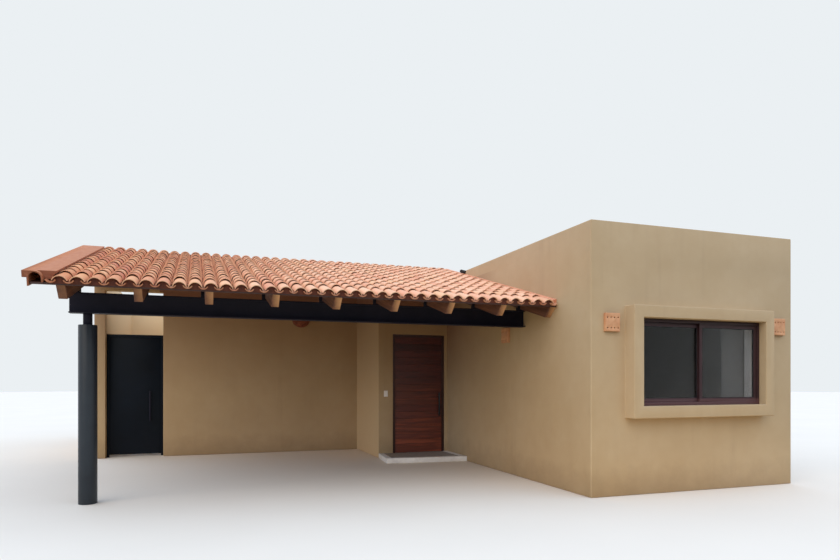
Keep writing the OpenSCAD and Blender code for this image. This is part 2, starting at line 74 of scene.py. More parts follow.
# %% Stand the camera where the photograph was taken
EYE = Vector((-3.268, -13.267, 1.555))
QUARTER = math.radians(90)
TURN = math.radians(-19.55)
SENSOR, LENS, LENS_SHIFT = 36, 26.914, 0.11964
camera_data = bpy.data.cameras.new("camera")
camera = bpy.data.objects.new("camera", camera_data)
scene.collection.objects.link(camera)
scene.camera = camera
camera.location = EYE
camera.rotation_euler = (QUARTER, 0, TURN)
camera_data.sensor_width = SENSOR
camera_data.lens = LENS
camera_data.shift_y = LENS_SHIFT
scene.view_settings.view_transform = "Standard"
print("Eye height", EYE.z)

# %% [markdown]
# Colours are easiest to judge as a screen shows them, from 0 to 255, while Blender
# works in linear light. One function turns the first into the second.
# A second group of helpers wires nodes. They serve shader trees and geometry trees
# alike: a value is typed into a socket, and a socket is linked to it.

# %% Write colours and wire nodes
def shade(red, green, blue):
    """A colour read off a screen, as Blender's linear colour."""
    parts = [part / 255 for part in (red, green, blue)]
    return [p / 12.92 if p < 0.04045 else ((p + 0.055) / 1.055) ** 2.4 for p in parts] + [1]


def wire(tree, value, socket):
    """Links a socket, or types a plain value into it."""
    if isinstance(value, bpy.types.NodeSocket):
        tree.links.new(value, socket)
    else:
        socket.default_value = value


def add(tree, kind, sockets=None, **settings):
    """A new node with its settings made and its sockets filled."""
    made = tree.nodes.new(kind)
    for name, value in settings.items():
        setattr(made, name, value)
    for key, value in (sockets or {}).items():
        wire(tree, value, made.inputs[key])
    return made


def sums(tree, operation, *values):
    """A Math node's result."""
    sockets = dict(enumerate(values))
    return add(tree, "ShaderNodeMath", sockets, operation=operation).outputs[0]


def product(tree, *factors):
    """Two or more values multiplied."""
    result = factors[0]
    for factor in factors[1:]:
        result = sums(tree, "MULTIPLY", result, factor)
    return result


def axes(tree, vector):
    """The X, Y and Z of a vector."""
    return add(tree, "ShaderNodeSeparateXYZ", {0: vector}).outputs


def vector(tree, *parts):
    """X, Y and Z values as one vector."""
    return add(tree, "ShaderNodeCombineXYZ", dict(enumerate(parts))).outputs[0]


def span(tree, value, low, high, start=0.0, end=1.0):
    """Maps low to high onto start to end, and stops at both ends."""
    sockets = {"Value": value, "From Min": low, "From Max": high, "To Min": start, "To Max": end}
    return add(tree, "ShaderNodeMapRange", sockets).outputs["Result"]


def blend(tree, factor, first, second, how="MIX"):
    """Mixes two colours."""
    made = add(tree, "ShaderNodeMix", data_type="RGBA", blend_type=how)
    for place, value in zip((0, 6, 7), (factor, first, second)):
        wire(tree, value, made.inputs[place])
    return made.outputs[2]


def tinted(tree, base, over, mask, strength=1.0):
    """One colour laid over another, as strongly as a mask says."""
    return blend(tree, product(tree, mask, strength), base, over)


def ramp(tree, value, *stops):
    """A colour ramp through stops of a place and a colour read off a screen."""
    made = add(tree, "ShaderNodeValToRGB", {0: value})
    points = made.color_ramp.elements
    while len(points) < len(stops):
        points.new(0.5)
    for point, (place, colour) in zip(points, stops):
        point.position = place
        point.color = shade(*colour)
    return made.outputs["Color"]


def noise(tree, place, scale, detail=3.0, roughness=0.5):
    """Soft random patches from 0 to 1."""
    sockets = {"Vector": place, "Scale": scale, "Detail": detail, "Roughness": roughness}
    return add(tree, "ShaderNodeTexNoise", sockets).outputs[0]


def stretched(tree, place, scale, turn=(0, 0, 0)):
    """The same place, scaled and turned, so that a pattern runs in one direction."""
    sockets = {"Vector": place, "Scale": scale, "Rotation": turn}
    return add(tree, "ShaderNodeMapping", sockets).outputs[0]


def new_group(name, kind, inputs, outputs):
    """An empty node group with its named sockets."""
    group = bpy.data.node_groups.new(name, kind)
    for label, socket in inputs.items():
        group.interface.new_socket(label, in_out="INPUT", socket_type=socket)
    for label, socket in outputs.items():
        group.interface.new_socket(label, in_out="OUTPUT", socket_type=socket)
    return group, add(group, "NodeGroupInput").outputs, add(group, "NodeGroupOutput").inputs


print("Render beige in linear light", [round(part, 3) for part in shade(197, 172, 136)])

# %% [markdown]
# The day is bright and overcast. A pale sky lights everything evenly, and one large
# soft glow stands low at the front left. It reaches far in under the rafters, as the
# photograph's light does, and leaves only the upper back of the carport in shade.
# The sky and the floor look pale to the camera, whatever light they give.

# %% Light the house
SKY_SEEN = shade(235, 240, 243)
SKY_GIVEN = shade(198, 221, 255)
HORIZON_LIGHT, ZENITH_LIGHT = 0.95, 2.1
GLOW_LIGHT = 0.95
GLOW_SPREAD, GLOW_TILT, GLOW_TURN = (math.radians(part) for part in (60, 56, -44))


def seen_directly(tree):
    """1 for what the camera sees, also in a mirror or through glass."""
    path = add(tree, "ShaderNodeLightPath").outputs
    mirrored = sums(tree, "MAXIMUM", path["Is Glossy Ray"], path["Is Transmission Ray"])
    return sums(tree, "MAXIMUM", path["Is Camera Ray"], mirrored)


def make_sky():
    world = bpy.data.worlds.new("overcast")
    world.use_nodes = True
    tree = world.node_tree
    tree.nodes.clear()
    height = axes(tree, add(tree, "ShaderNodeTexCoord").outputs["Object"])[2]
    strength = span(tree, height, 0.0, 1.0, HORIZON_LIGHT, ZENITH_LIGHT)
    light = add(tree, "ShaderNodeBackground", {"Color": SKY_GIVEN, "Strength": strength})
    seen = add(tree, "ShaderNodeBackground", {"Color": SKY_SEEN, "Strength": 1.0})
    mixed = add(tree, "ShaderNodeMixShader", {0: seen_directly(tree), 1: light.outputs[0], 2: seen.outputs[0]})
    add(tree, "ShaderNodeOutputWorld", {"Surface": mixed.outputs[0]})
    return world


scene.world = make_sky()
glow_data = bpy.data.lights.new("sun", "SUN")
glow_data.energy = GLOW_LIGHT
glow_data.angle = GLOW_SPREAD
glow_data.color = shade(255, 239, 220)[:3]
glow = bpy.data.objects.new("sun", glow_data)
glow.rotation_euler = (GLOW_TILT, 0, GLOW_TURN)
scene.collection.objects.link(glow)
print("Sky", HORIZON_LIGHT, "to", ZENITH_LIGHT, "glow", GLOW_LIGHT)

# %% [markdown]
# The floor is one wide pale disc. It takes the house's shadow. To other rays than the
# camera's it is a warm tan near the house and darker further out, so that the light
# it throws up under the carport's roof is warm and comes from close by.

# %% Lay the floor
def new_material(name, roughness=0.6, **sockets):
    """A material with one Principled shader, and the place on the piece in metres."""
    made = bpy.data.materials.new(name)
    made.use_nodes = True
    tree = made.node_tree
    tree.nodes.clear()
    shader = add(tree, "ShaderNodeBsdfPrincipled", {"Roughness": roughness})
    for label, value in sockets.items():
        shader.inputs[label.replace("_", " ")].default_value = value
    add(tree, "ShaderNodeOutputMaterial", {"Surface": shader.outputs[0]})
    place = add(tree, "ShaderNodeTexCoord").outputs["Object"]
    return made, tree, shader.inputs, place


def new_piece(name, mesh):
    """An object in the scene for a finished mesh."""
    piece = bpy.data.objects.new(name, mesh)
    scene.collection.objects.link(piece)
    return piece


def mesh_of(form, name):
    """The mesh of a bmesh, which is freed."""
    mesh = bpy.data.meshes.new(name)
    form.to_mesh(mesh)
    form.free()
    return mesh


def made_of(name, form, *finishes):
    """An object in the scene for a bmesh, with its finishes."""
    piece = new_piece(name, mesh_of(form, name))
    for finish in finishes:
        piece.data.materials.append(finish)
    return piece


FLOOR_SEEN = shade(238, 222, 199)[:3]
TAN_NEAR, DULL_FAR = shade(236, 202, 148), shade(104, 96, 78)
NEAR_ENDS, FAR_STARTS = 8.0, 12.0
FLOOR_RADIUS, FLOOR_DROP = 90, 0.002


def floor_material():
    made, tree, shader, place = new_material("pale_floor", roughness=0.9)
    patches = span(tree, noise(tree, place, 0.5), 0.3, 0.7, 0.97, 1.0)
    seen = add(tree, "ShaderNodeVectorMath", {0: FLOOR_SEEN, "Scale": patches}, operation="SCALE").outputs[0]
    reach = add(tree, "ShaderNodeVectorMath", {0: place}, operation="LENGTH").outputs["Value"]
    thrown = blend(tree, span(tree, reach, NEAR_ENDS, FAR_STARTS), TAN_NEAR, DULL_FAR)
    wire(tree, blend(tree, seen_directly(tree), thrown, seen), shader["Base Color"])
    return made


disc = bmesh.new()
bmesh.ops.create_circle(disc, cap_ends=True, segments=96, radius=FLOOR_RADIUS)
bmesh.ops.translate(disc, verts=disc.verts, vec=(0, 0, -FLOOR_DROP))
floor = made_of("pale_floor", disc, floor_material())
print("Floor across", floor.dimensions.x)

# %% [markdown]
# Several finishes share the same effects, so each effect is a group of shader nodes
# that puts out only masks, values and heights:
# patches for anything cast or plastered by hand, grain for sawn wood, dust on what
# faces up, runs of rain on upright faces, and splashes near the ground.

# %% Build the shared effects
VECTOR, FLOAT, INTEGER, OBJECT, MATERIAL, GEOMETRY = ("NodeSocket" + kind for kind in
    ("Vector", "Float", "Int", "Object", "Material", "Geometry"))


def patches_group():
    """Cloudy patches at one size, a finer speckle, and a height for bump."""
    group, given, out = new_group("patches", "ShaderNodeTree",
        {"Place": VECTOR, "Scale": FLOAT}, {"Patches": FLOAT, "Speckle": FLOAT, "Height": FLOAT})
    broad = noise(group, given["Place"], given["Scale"], 4, 0.55)
    speckle = noise(group, given["Place"], product(group, given["Scale"], 30.0), 2, 0.6)
    wire(group, span(group, broad, 0.3, 0.7), out["Patches"])
    wire(group, span(group, speckle, 0.3, 0.7), out["Speckle"])
    wire(group, sums(group, "MULTIPLY_ADD", speckle, 0.35, broad), out["Height"])
    return group


def grain_group():
    """Wood grain along Y of the given place: long fibres over slow bands."""
    group, given, out = new_group("grain", "ShaderNodeTree",
        {"Place": VECTOR, "Fineness": FLOAT}, {"Bands": FLOAT, "Fibres": FLOAT, "Height": FLOAT})
    banded = stretched(group, given["Place"], (1, 0.07, 1))
    warped = noise(group, banded, product(group, given["Fineness"], 0.25), 2, 0.5)
    thin = stretched(group, given["Place"], (1, 0.03, 1))
    fibres = noise(group, thin, product(group, given["Fineness"], 1.6), 4, 0.6)
    wire(group, span(group, warped, 0.3, 0.7), out["Bands"])
    wire(group, span(group, fibres, 0.35, 0.65), out["Fibres"])
    wire(group, fibres, out["Height"])
    return group


def dust_group():
    """Dust that settles on faces which look up, thicker in patches."""
    group, given, out = new_group("settled_dust", "ShaderNodeTree",
        {"Place": VECTOR, "Facing": VECTOR, "Amount": FLOAT}, {"Mask": FLOAT})
    up = axes(group, given["Facing"])[2]
    lying = span(group, up, 0.25, 0.95)
    cloudy = span(group, noise(group, given["Place"], 14.0, 4, 0.6), 0.3, 0.75, 0.35, 1.0)
    mask = product(group, lying, cloudy)
    wire(group, product(group, mask, given["Amount"]), out["Mask"])
    return group


def rain_group():
    """Upright runs of rain water."""
    group, given, out = new_group("rain_runs", "ShaderNodeTree", {"Place": VECTOR}, {"Mask": FLOAT})
    tall = stretched(group, given["Place"], (1, 1, 0.06))
    runs = span(group, noise(group, tall, 5.0, 4, 0.6), 0.5, 0.78)
    broken = span(group, noise(group, given["Place"], 1.3, 3, 0.5), 0.4, 0.65)
    wire(group, product(group, runs, broken), out["Mask"])
    return group


def splash_group():
    """Dirt splashed up from the ground, with a ragged upper edge."""
    group, given, out = new_group("splashes", "ShaderNodeTree",
        {"Place": VECTOR, "Reach": FLOAT}, {"Mask": FLOAT})
    height = axes(group, given["Place"])[2]
    ragged = sums(group, "MULTIPLY_ADD", noise(group, given["Place"], 3.0, 5, 0.65), -0.5, height)
    level = sums(group, "DIVIDE", sums(group, "ADD", ragged, 0.25), given["Reach"])
    wire(group, span(group, level, 0.0, 1.0, 1.0, 0.0), out["Mask"])
    return group


EFFECTS = {make.__name__: make() for make in
    (patches_group, grain_group, dust_group, rain_group, splash_group)}


def effect(tree, make, **sockets):
    """Places a shared effect in a material, and returns its outputs."""
    placed = add(tree, "ShaderNodeGroup", node_tree=EFFECTS[make.__name__])
    for label, value in sockets.items():
        wire(tree, value, placed.inputs[label])
    return placed.outputs


def bump(tree, height, distance, strength):
    """A bump normal from a height, for a shader's Normal socket."""
    sockets = {"Height": height, "Distance": distance, "Strength": strength}
    return add(tree, "ShaderNodeBump", sockets).outputs[0]


def surface(tree, shader, colour, height, distance, strength):
    """Wires a colour and an uneven height into a material's shader."""
    wire(tree, colour, shader["Base Color"])
    wire(tree, bump(tree, height, distance, strength), shader["Normal"])


def facing(tree):
    """The direction that the surface faces, in the piece's own axes."""
    return add(tree, "ShaderNodeTexCoord").outputs["Normal"]


print("Effects", sorted(EFFECTS))

# %% [markdown]
# The walls wear one coat of ochre render, floated by hand. It is nearly one colour,
# with slow lighter clouds, a sandy tooth, faint rain runs below the parapet
# and a darker, browner foot where rain splashes up.
# Five zones of it differ, and each is told by where it lies: the beam that the rafters
# end against is browner and darker like them, painted shade, with the flat slab behind
# it; the wall beside the entry is lighter, painted light; the walls are redder and darker
# deep under the tiles, painted shade; the passage is brighter, painted light; and the
# strip between the porch's tiles is pointed with their mortar. Rooms are grey, which is
# painted shade, and window reveals white.
# One more function mixes whatever is cast, thrown or moulded: cloudy in two shades,
# and speckled, splashed and uneven where that is wanted.

# %% Mix the render, the plaster and the concrete
JUST_OFF = 0.01
HAIR = 0.004
FAR = 100.0
ANY = (-FAR, FAR)
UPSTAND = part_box("carport_boards")[1]
PORCH_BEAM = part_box("porch_boards")[1]
PASSAGE_LOW, PASSAGE_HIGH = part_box("gate_frame")
SLAB_LOW, SLAB_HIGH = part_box("carport_slab")
BACK_WALL_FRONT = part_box("carport_back_wall")[0].y + JUST_OFF
SIDE_WALL_FACE = PORCH_BEAM.x - JUST_OFF
ENTRY_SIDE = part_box("entry_side_wall")[0].x
REAR_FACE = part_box("rear_wall")[1].y - JUST_OFF
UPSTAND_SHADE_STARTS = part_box("edge_beams")[0].x + 1.2
UPSTAND_LOW = 2.9
SHADE_DEPTHS = (UPSTAND.y - 2.4, UPSTAND.y - 0.4)
SHADE_HEIGHTS = (1.2, 2.8)
POINTING_END = PORCH_BEAM.y + 0.4
POINTING_LOW = SLAB_HIGH.z - 0.05


def in_zone(tree, place, *limits):
    """1 where X, Y and Z each lie between a low and a high limit."""
    tests = []
    for value, (low, high) in zip(axes(tree, place), limits):
        tests += [sums(tree, "GREATER_THAN", value, low), sums(tree, "LESS_THAN", value, high)]
    return product(tree, *tests)


def shade_on_upstand(tree, place):
    """Painted shade: 1 on the beam that the rafters end against, and on the flat slab behind it."""
    return in_zone(tree, place, (UPSTAND_SHADE_STARTS, SIDE_WALL_FACE), (-FAR, BACK_WALL_FRONT), (UPSTAND_LOW, FAR))


def light_on_entry_side(tree, place):
    """Painted light: 1 on the wall of the entry that faces the open side of the carport."""
    return in_zone(tree, place, (ENTRY_SIDE - HAIR, ENTRY_SIDE + HAIR), ANY, ANY)


def shade_under_roof(tree, place):
    """Painted shade: 0 in the open, more and more high on the walls below the tiled roof."""
    x, y, z = axes(tree, place)
    zone = in_zone(tree, place, (-FAR, PORCH_BEAM.x + JUST_OFF), (-FAR, BACK_WALL_FRONT),
        (-FAR, SLAB_LOW.z + JUST_OFF))
    beside = sums(tree, "GREATER_THAN", x, SIDE_WALL_FACE)
    strength = sums(tree, "MULTIPLY_ADD", beside, 0.42, 0.42)
    return product(tree, zone, strength, span(tree, y, *SHADE_DEPTHS), span(tree, z, *SHADE_HEIGHTS))


def light_in_passage(tree, place):
    """Painted light: 1 on the walls inside the open side passage, behind its gate."""
    return in_zone(tree, place, (PASSAGE_LOW.x - HAIR, PASSAGE_HIGH.x + HAIR), (PASSAGE_HIGH.y, REAR_FACE), ANY)


def pointed(tree, place):
    """1 on the strip of the porch's slab that shows between its roof tiles."""
    return in_zone(tree, place, (UPSTAND.x - HAIR, PORCH_BEAM.x - HAIR), (PORCH_BEAM.y - HAIR, POINTING_END),
        (POINTING_LOW, FAR))


def render_material():
    made, tree, shader, place = new_material("ochre_render", roughness=0.92)
    cloud = effect(tree, patches_group, Place=place, Scale=0.9)
    hand = effect(tree, patches_group, Place=place, Scale=5.0)
    layers = (
        (hand["Patches"], 0.25, shade(181, 150, 107)),
        (effect(tree, rain_group, Place=place)["Mask"], 0.22, shade(144, 120, 88)),
        (effect(tree, splash_group, Place=place, Reach=0.42)["Mask"], 0.45, shade(132, 108, 76)),
        # painted light: lighter on the wall beside the entry
        (light_on_entry_side(tree, place), 0.8, shade(218, 186, 138)),
        # painted shade: redder and darker high on the walls deep under the tiles
        (shade_under_roof(tree, place), 1.0, shade(136, 96, 70)),
        # painted shade: browner and darker on the beam under the rafters and the slab behind it
        (shade_on_upstand(tree, place), 1.0, shade(140, 98, 76)),
        (pointed(tree, place), 1.0, shade(214, 138, 100)),
        # painted light: brighter on the walls inside the passage
        (light_in_passage(tree, place), 1.0, shade(234, 204, 158)))
    ochre = blend(tree, cloud["Patches"], shade(187, 158, 117), shade(195, 167, 127))
    for mask, strength, colour in layers:
        ochre = tinted(tree, ochre, colour, mask, strength)
    tooth = noise(tree, place, 240.0, 2, 0.6)
    surface(tree, shader, ochre, sums(tree, "MULTIPLY_ADD", tooth, 0.12, hand["Height"]), 0.006, 0.55)
    return made


def cast_material(name, light, dark, scale, roughness, height=(0.003, 0.5), speckle=0.0, spots=None,
        splash=None):
    """Anything cast, thrown or moulded. The height is a bump's distance and strength."""
    made, tree, shader, place = new_material(name, roughness=roughness)
    cloud = effect(tree, patches_group, Place=place, Scale=scale)
    body = blend(tree, cloud["Patches"], dark, light)
    if speckle:
        body = tinted(tree, body, spots or dark, cloud["Speckle"], speckle)
    if splash:
        foot = effect(tree, splash_group, Place=place, Reach=0.08)["Mask"]
        body = tinted(tree, body, splash, foot, 0.15)
    surface(tree, shader, body, cloud["Height"], *height)
    return made


PLASTERED = dict(scale=2.5, roughness=0.85, height=(0.002, 0.4))
SCREEDED = dict(scale=3.0, roughness=0.88, speckle=0.25)
MORTARED = dict(scale=16.0, roughness=0.9, height=(0.006, 0.6))
RENDER = render_material()
# the rooms' grey plaster is painted shade for the unlit rooms
SHADED_ROOM_PLASTER = cast_material("room_plaster", shade(150, 146, 138), shade(142, 138, 128), **PLASTERED)
REVEAL_PLASTER = cast_material("white_reveal_plaster", shade(250, 248, 244), shade(244, 241, 236), **PLASTERED)
ROOF_SCREED = cast_material("roof_screed", shade(150, 142, 130), shade(122, 115, 104), **SCREEDED)
FLOOR_SCREED = cast_material("floor_screed", shade(164, 150, 132), shade(140, 127, 110), **SCREEDED)
print("Render and plaster mixed")

# %% [markdown]
# A render coat runs over every joint between walls, slabs and window bands, and its
# corners are rounded by the float. So copies of those CAD nodes are fused into one
# shell by a Boolean union, and a small bevel rounds what is left sharp.
# Faces that look into a room get the grey plaster, whose grey is painted shade for the unlit rooms. The flat
# roofs show where rooms are.

# %% Fuse the masonry and coat it
COATED = ("front_wall", "side_wall", "right_wall", "rear_wall", "passage_inner_wall",
    "passage_outer_wall", "carport_back_wall", "entry_side_wall", "entry_left_jamb",
    "entry_right_jamb", "entry_lintel", "gate_lintel", "window_surrounds",
    "carport_slab", "porch_slab", "edge_beams")
ROUNDING = 0.012


def form_of(mesh):
    """A bmesh that starts as a copy of a mesh."""
    form = bmesh.new()
    form.from_mesh(mesh)
    return form


def cleaned(form, distance):
    """Merges doubled points and makes flat faces whole."""
    bmesh.ops.remove_doubles(form, verts=form.verts, dist=distance)
    bmesh.ops.dissolve_limit(form, angle_limit=math.radians(0.5), verts=form.verts, edges=form.edges)
    return form


def merged(node):
    """A CAD node as a clean bmesh."""
    return cleaned(form_of(frame["nodes"][node].data), 1e-5)


def finished(piece):
    """Turns an object's live modifiers into its plain mesh."""
    made = bpy.data.meshes.new_from_object(piece.evaluated_get(bpy.context.evaluated_depsgraph_get()))
    made.name = piece.name
    piece.modifiers.clear()
    piece.data = made
    return piece


def soften(piece, width, segments=2, angle=35):
    """Rounds a piece's sharp edges and smooths its curved faces."""
    piece.data.shade_smooth()
    edge = piece.modifiers.new("soft_edges", "BEVEL")
    edge.width = width
    edge.segments = segments
    edge.limit_method = "ANGLE"
    edge.angle_limit = math.radians(angle)
    edge.harden_normals = True
    return piece


def fused(name, nodes):
    """One closed shell from several CAD nodes that touch."""
    parts = bpy.data.collections.new(name + "_parts")
    for node in nodes[1:]:
        parts.objects.link(bpy.data.objects.new(node + "_part", mesh_of(merged(node), node)))
    scene.collection.children.link(parts)
    shell = made_of(name, merged(nodes[0]))
    union = shell.modifiers.new("union", "BOOLEAN")
    union.operand_type = "COLLECTION"
    union.collection = parts
    union.operation = "UNION"
    union.solver = "EXACT"
    finished(shell)
    for part in list(parts.objects):
        bpy.data.objects.remove(part)
    bpy.data.collections.remove(parts)
    return shell


def cut_at(form, place, normal, off=False):
    """Splits every face that crosses a plane. Where the far side comes off, the cut is closed."""
    everything = form.verts[:] + form.edges[:] + form.faces[:]
    cut = bmesh.ops.bisect_plane(form, geom=everything, plane_co=place, plane_no=normal, clear_outer=off)
    if off:
        rim = [item for item in cut["geom_cut"] if isinstance(item, bmesh.types.BMEdge)]
        bmesh.ops.holes_fill(form, edges=rim)


ROOMS = [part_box(node) for node in ("front_roof", "entry_roof", "rear_roof")]
ceiling = ROOMS[0][0].z
frames_low, frames_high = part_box("window_frames")
FRAME_DEPTH = 0.09
REVEALS_LOW, REVEALS_HIGH = 1.0, 2.6
front_reveal = frames_low.y + FRAME_DEPTH
rear_reveal = frames_high.y - FRAME_DEPTH


def indoors(face):
    """Whether a face looks into a room."""
    spot = face.calc_center_median() + face.normal * JUST_OFF
    if spot.z > ceiling:
        return False
    return any(low.x < spot.x < high.x and low.y < spot.y < high.y for low, high in ROOMS)


def in_reveal(face):
    """Whether a face is a side of a window's inner reveal."""
    spot = face.calc_center_median() + face.normal * JUST_OFF
    in_front = front_reveal < spot.y < ROOMS[0][0].y
    in_rear = ROOMS[2][1].y < spot.y < rear_reveal
    upright = abs(face.normal.y) < 0.5
    wide = ROOMS[2][0].x < spot.x < ROOMS[0][1].x
    return upright and wide and (in_front or in_rear) and REVEALS_LOW < spot.z < REVEALS_HIGH


def coat_masonry():
    shell = fused("house_render", COATED)
    form = cleaned(form_of(shell.data), 2e-4)
    cut_at(form, (0, 0, ceiling), (0, 0, 1))
    for y in (front_reveal, rear_reveal):
        cut_at(form, (0, y, 0), (0, 1, 0))
    form.normal_update()
    for face in form.faces:
        face.material_index = 2 if in_reveal(face) else 1 if indoors(face) else 0
    form.to_mesh(shell.data)
    form.free()
    for material in (RENDER, SHADED_ROOM_PLASTER, REVEAL_PLASTER):
        shell.data.materials.append(material)
    return soften(shell, ROUNDING, 3)


def fit(piece, body, slot, *nodes):
    """Carries a piece on a body, and hides the nodes it stands for. The slot is not used."""
    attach(piece, body)
    if nodes:
        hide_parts(*nodes)
    return piece


house_render = fit(coat_masonry(), "house", "render", *COATED)
print("Render coat", len(house_render.data.polygons), "faces before rounding")

# %% [markdown]
# The flat roofs and the floor keep their CAD nodes as they are. They only get a
# finish, grey screed that a builder has drawn flat.

# %% Finish the flat roofs and the floor
def paint(node, *materials):
    """Gives a CAD node its finish."""
    slots = frame["nodes"][node].data.materials
    slots.clear()
    for material in materials:
        slots.append(material)


for flat in ("front_roof", "entry_roof", "rear_roof"):
    paint(flat, ROOF_SCREED)
paint("floor_slab", FLOOR_SCREED)
print("Screed on", len(ROOMS), "roofs and one floor")

# %% [markdown]
# Roof tiles are half barrels of fired clay, made over a tapered log: wide at the lip
# and narrow at the top, so that each lip covers the one below. One tile is modelled
# from its section. It keeps two measures on its points, how far along and how far
# round they lie, which the clay later uses for lips, soot and dirt. The eave's covers
# are flatter, thinner and longer to the eye than the others, and each is filled with
# mortar a little behind its lip.

# %% Model one barrel tile
CLAY = 0.012
TILE_LENGTH = 0.42
TILE_ROWS = 2


def barrel(name, low_r, high_r, start, end, steps, length=TILE_LENGTH, clay=CLAY, shown=1.0):
    """A thick, closed arch of clay along +Y, with its lip at the origin. Angles are
    in degrees from +X."""
    form = bmesh.new()
    along = form.verts.layers.float.new("along")
    around = form.verts.layers.float.new("around")
    rings = []
    for row in range(TILE_ROWS + 1):
        share = row / TILE_ROWS
        radius = low_r + (high_r - low_r) * share
        ring = []
        for step in range(steps + 1):
            angle = math.radians(start + (end - start) * step / steps)
            pair = []
            for r in (radius, radius - clay):
                point = form.verts.new((r * math.cos(angle), share * length, r * math.sin(angle)))
                point[along] = share * shown
                point[around] = 2 * step / steps - 1
                pair.append(point)
            ring.append(pair)
        rings.append(ring)
    for low, high in zip(rings, rings[1:]):
        for side in (0, 1):
            for a, b, c, d in zip(low, low[1:], high[1:], high):
                form.faces.new([corner[side] for corner in (a, b, c, d)])
        for a, b in ((low[0], high[0]), (high[-1], low[-1])):
            form.faces.new((a[0], a[1], b[1], b[0]))
    for ring in (rings[0], rings[-1]):
        for a, b in zip(ring, ring[1:]):
            form.faces.new((a[0], b[0], b[1], a[1]))
    bmesh.ops.recalc_face_normals(form, faces=form.faces)
    mesh = mesh_of(form, name)
    mesh.shade_smooth()
    mesh.set_sharp_from_angle(angle=math.radians(40))
    return new_piece(name, mesh)


def bedding_lump(name, radius, start, end):
    """The half round of mortar that fills a cover tile behind its lip."""
    form = bmesh.new()
    matrix = Matrix.Translation((0, (start + end) / 2, 0)) @ Matrix.Rotation(QUARTER, 4, "X")
    bmesh.ops.create_cone(form, cap_ends=True, segments=20, radius1=radius, radius2=radius,
        depth=end - start, matrix=matrix)
    cut_at(form, (0, 0, -CLAY), (0, 0, -1), off=True)
    return made_of(name, form)


COVER = 0.086
COVER_LIFT = 0.026
EAVE_COVER = 0.085
EAVE_LIFT = 0.007
BEDDING_STARTS, BEDDING_ENDS = 0.040, 0.10
eave_cover = barrel("eave_cover", EAVE_COVER, EAVE_COVER - 0.008, 18, 162, 12, clay=0.010, shown=0.75)
cover = barrel("cover", COVER, COVER - 0.026, -14, 194, 12)
pan = barrel("pan", 0.060, 0.072, 206, 334, 9, length=0.36)
bedding = bedding_lump("bedding", EAVE_COVER - CLAY, BEDDING_STARTS, BEDDING_ENDS)
TILE_FORMS = (eave_cover, cover, pan, bedding)
print("Faces of one cover tile", len(cover.data.polygons))

# %% [markdown]
# Hand-made tiles never lie quite straight. A geometry tree sets them out in columns
# and courses on the slope and lets each one shift, turn and lift a little, with a
# fixed seed. It also stores two random numbers on each tile, for its colour and for
# how hard it was fired. The same tree lays eave tiles, covers and pans.

# %% Grow rows of tiles on a slope
def chance(tree, seed, low=0.0, high=1.0):
    """A random number for each point or instance."""
    made = add(tree, "FunctionNodeRandomValue", data_type="FLOAT")
    for label, value in (("Min", low), ("Max", high), ("Seed", seed)):
        wire(tree, value, [socket for socket in made.inputs if socket.name == label and socket.enabled][0])
    return [socket for socket in made.outputs if socket.enabled][0]


def copies(tree, points, item, turn=(0, 0, 0)):
    """One instance of an object's shape on each point."""
    shape = add(tree, "GeometryNodeObjectInfo", {"Object": item}).outputs["Geometry"]
    sockets = {"Points": points, "Instance": shape, "Rotation": turn}
    return add(tree, "GeometryNodeInstanceOnPoints", sockets).outputs[0]


def numbered(tree, laid, label, value):
    """Stores a number on each instance."""
    stored = add(tree, "GeometryNodeStoreNamedAttribute", {"Geometry": laid, "Name": label},
        data_type="FLOAT", domain="INSTANCE")
    wire(tree, value, stored.inputs["Value"])
    return stored.outputs[0]


def clad(tree, laid, finish, corner=(0, 0, 0), turn=(0, 0, 0)):
    """Instances as one mesh, turned, moved to a corner and given their finish."""
    real = add(tree, "GeometryNodeRealizeInstances", {0: laid}).outputs[0]
    sockets = {"Geometry": real, "Translation": corner, "Rotation": turn}
    moved = add(tree, "GeometryNodeTransform", sockets).outputs[0]
    return add(tree, "GeometryNodeSetMaterial", {"Geometry": moved, "Material": finish}).outputs[0]


def tile_tree():
    counts = {name: INTEGER for name in ("Columns", "Courses", "Seed")}
    sizes = {name: FLOAT for name in ("Pitch", "Exposure", "Start", "Lift", "Slope", "Tilt",
        "Sideways", "Slip", "Turn")}
    tree, given, out = new_group("tile_courses", "GeometryNodeTree",
        {"Tile": OBJECT, "Corner": VECTOR, **counts, **sizes, "Clay": MATERIAL}, {"Tiles": GEOMETRY})

    def drawn(key, low=0.0, high=1.0):
        return chance(tree, sums(tree, "MULTIPLY_ADD", given["Seed"], 17.0, float(key)), low, high)

    def either_way(size, key):
        return product(tree, size, drawn(key, -1.0, 1.0))

    index = add(tree, "GeometryNodeInputIndex").outputs[0]
    course = sums(tree, "FLOOR", sums(tree, "DIVIDE", index, given["Columns"]))
    column = sums(tree, "SUBTRACT", index, product(tree, course, given["Columns"]))
    across = sums(tree, "ADD", product(tree, column, given["Pitch"]), either_way(given["Sideways"], 1))
    up = sums(tree, "ADD", product(tree, course, given["Exposure"]), given["Start"])
    up = sums(tree, "ADD", up, either_way(given["Slip"], 2))
    lift = sums(tree, "ADD", given["Lift"], drawn(3, -0.002, 0.003))
    count = product(tree, given["Columns"], given["Courses"])
    sockets = {"Count": count, "Position": vector(tree, across, up, lift)}
    points = add(tree, "GeometryNodePoints", sockets).outputs[0]
    turn = vector(tree, product(tree, given["Tilt"], -1.0), either_way(given["Turn"], 4),
        either_way(given["Turn"], 5))
    laid = copies(tree, points, given["Tile"], turn)
    for key, label in ((6, "tint"), (7, "firing")):
        laid = numbered(tree, laid, label, drawn(key))
    slope = vector(tree, given["Slope"])
    wire(tree, clad(tree, laid, given["Clay"], given["Corner"], slope), out["Tiles"])
    return tree


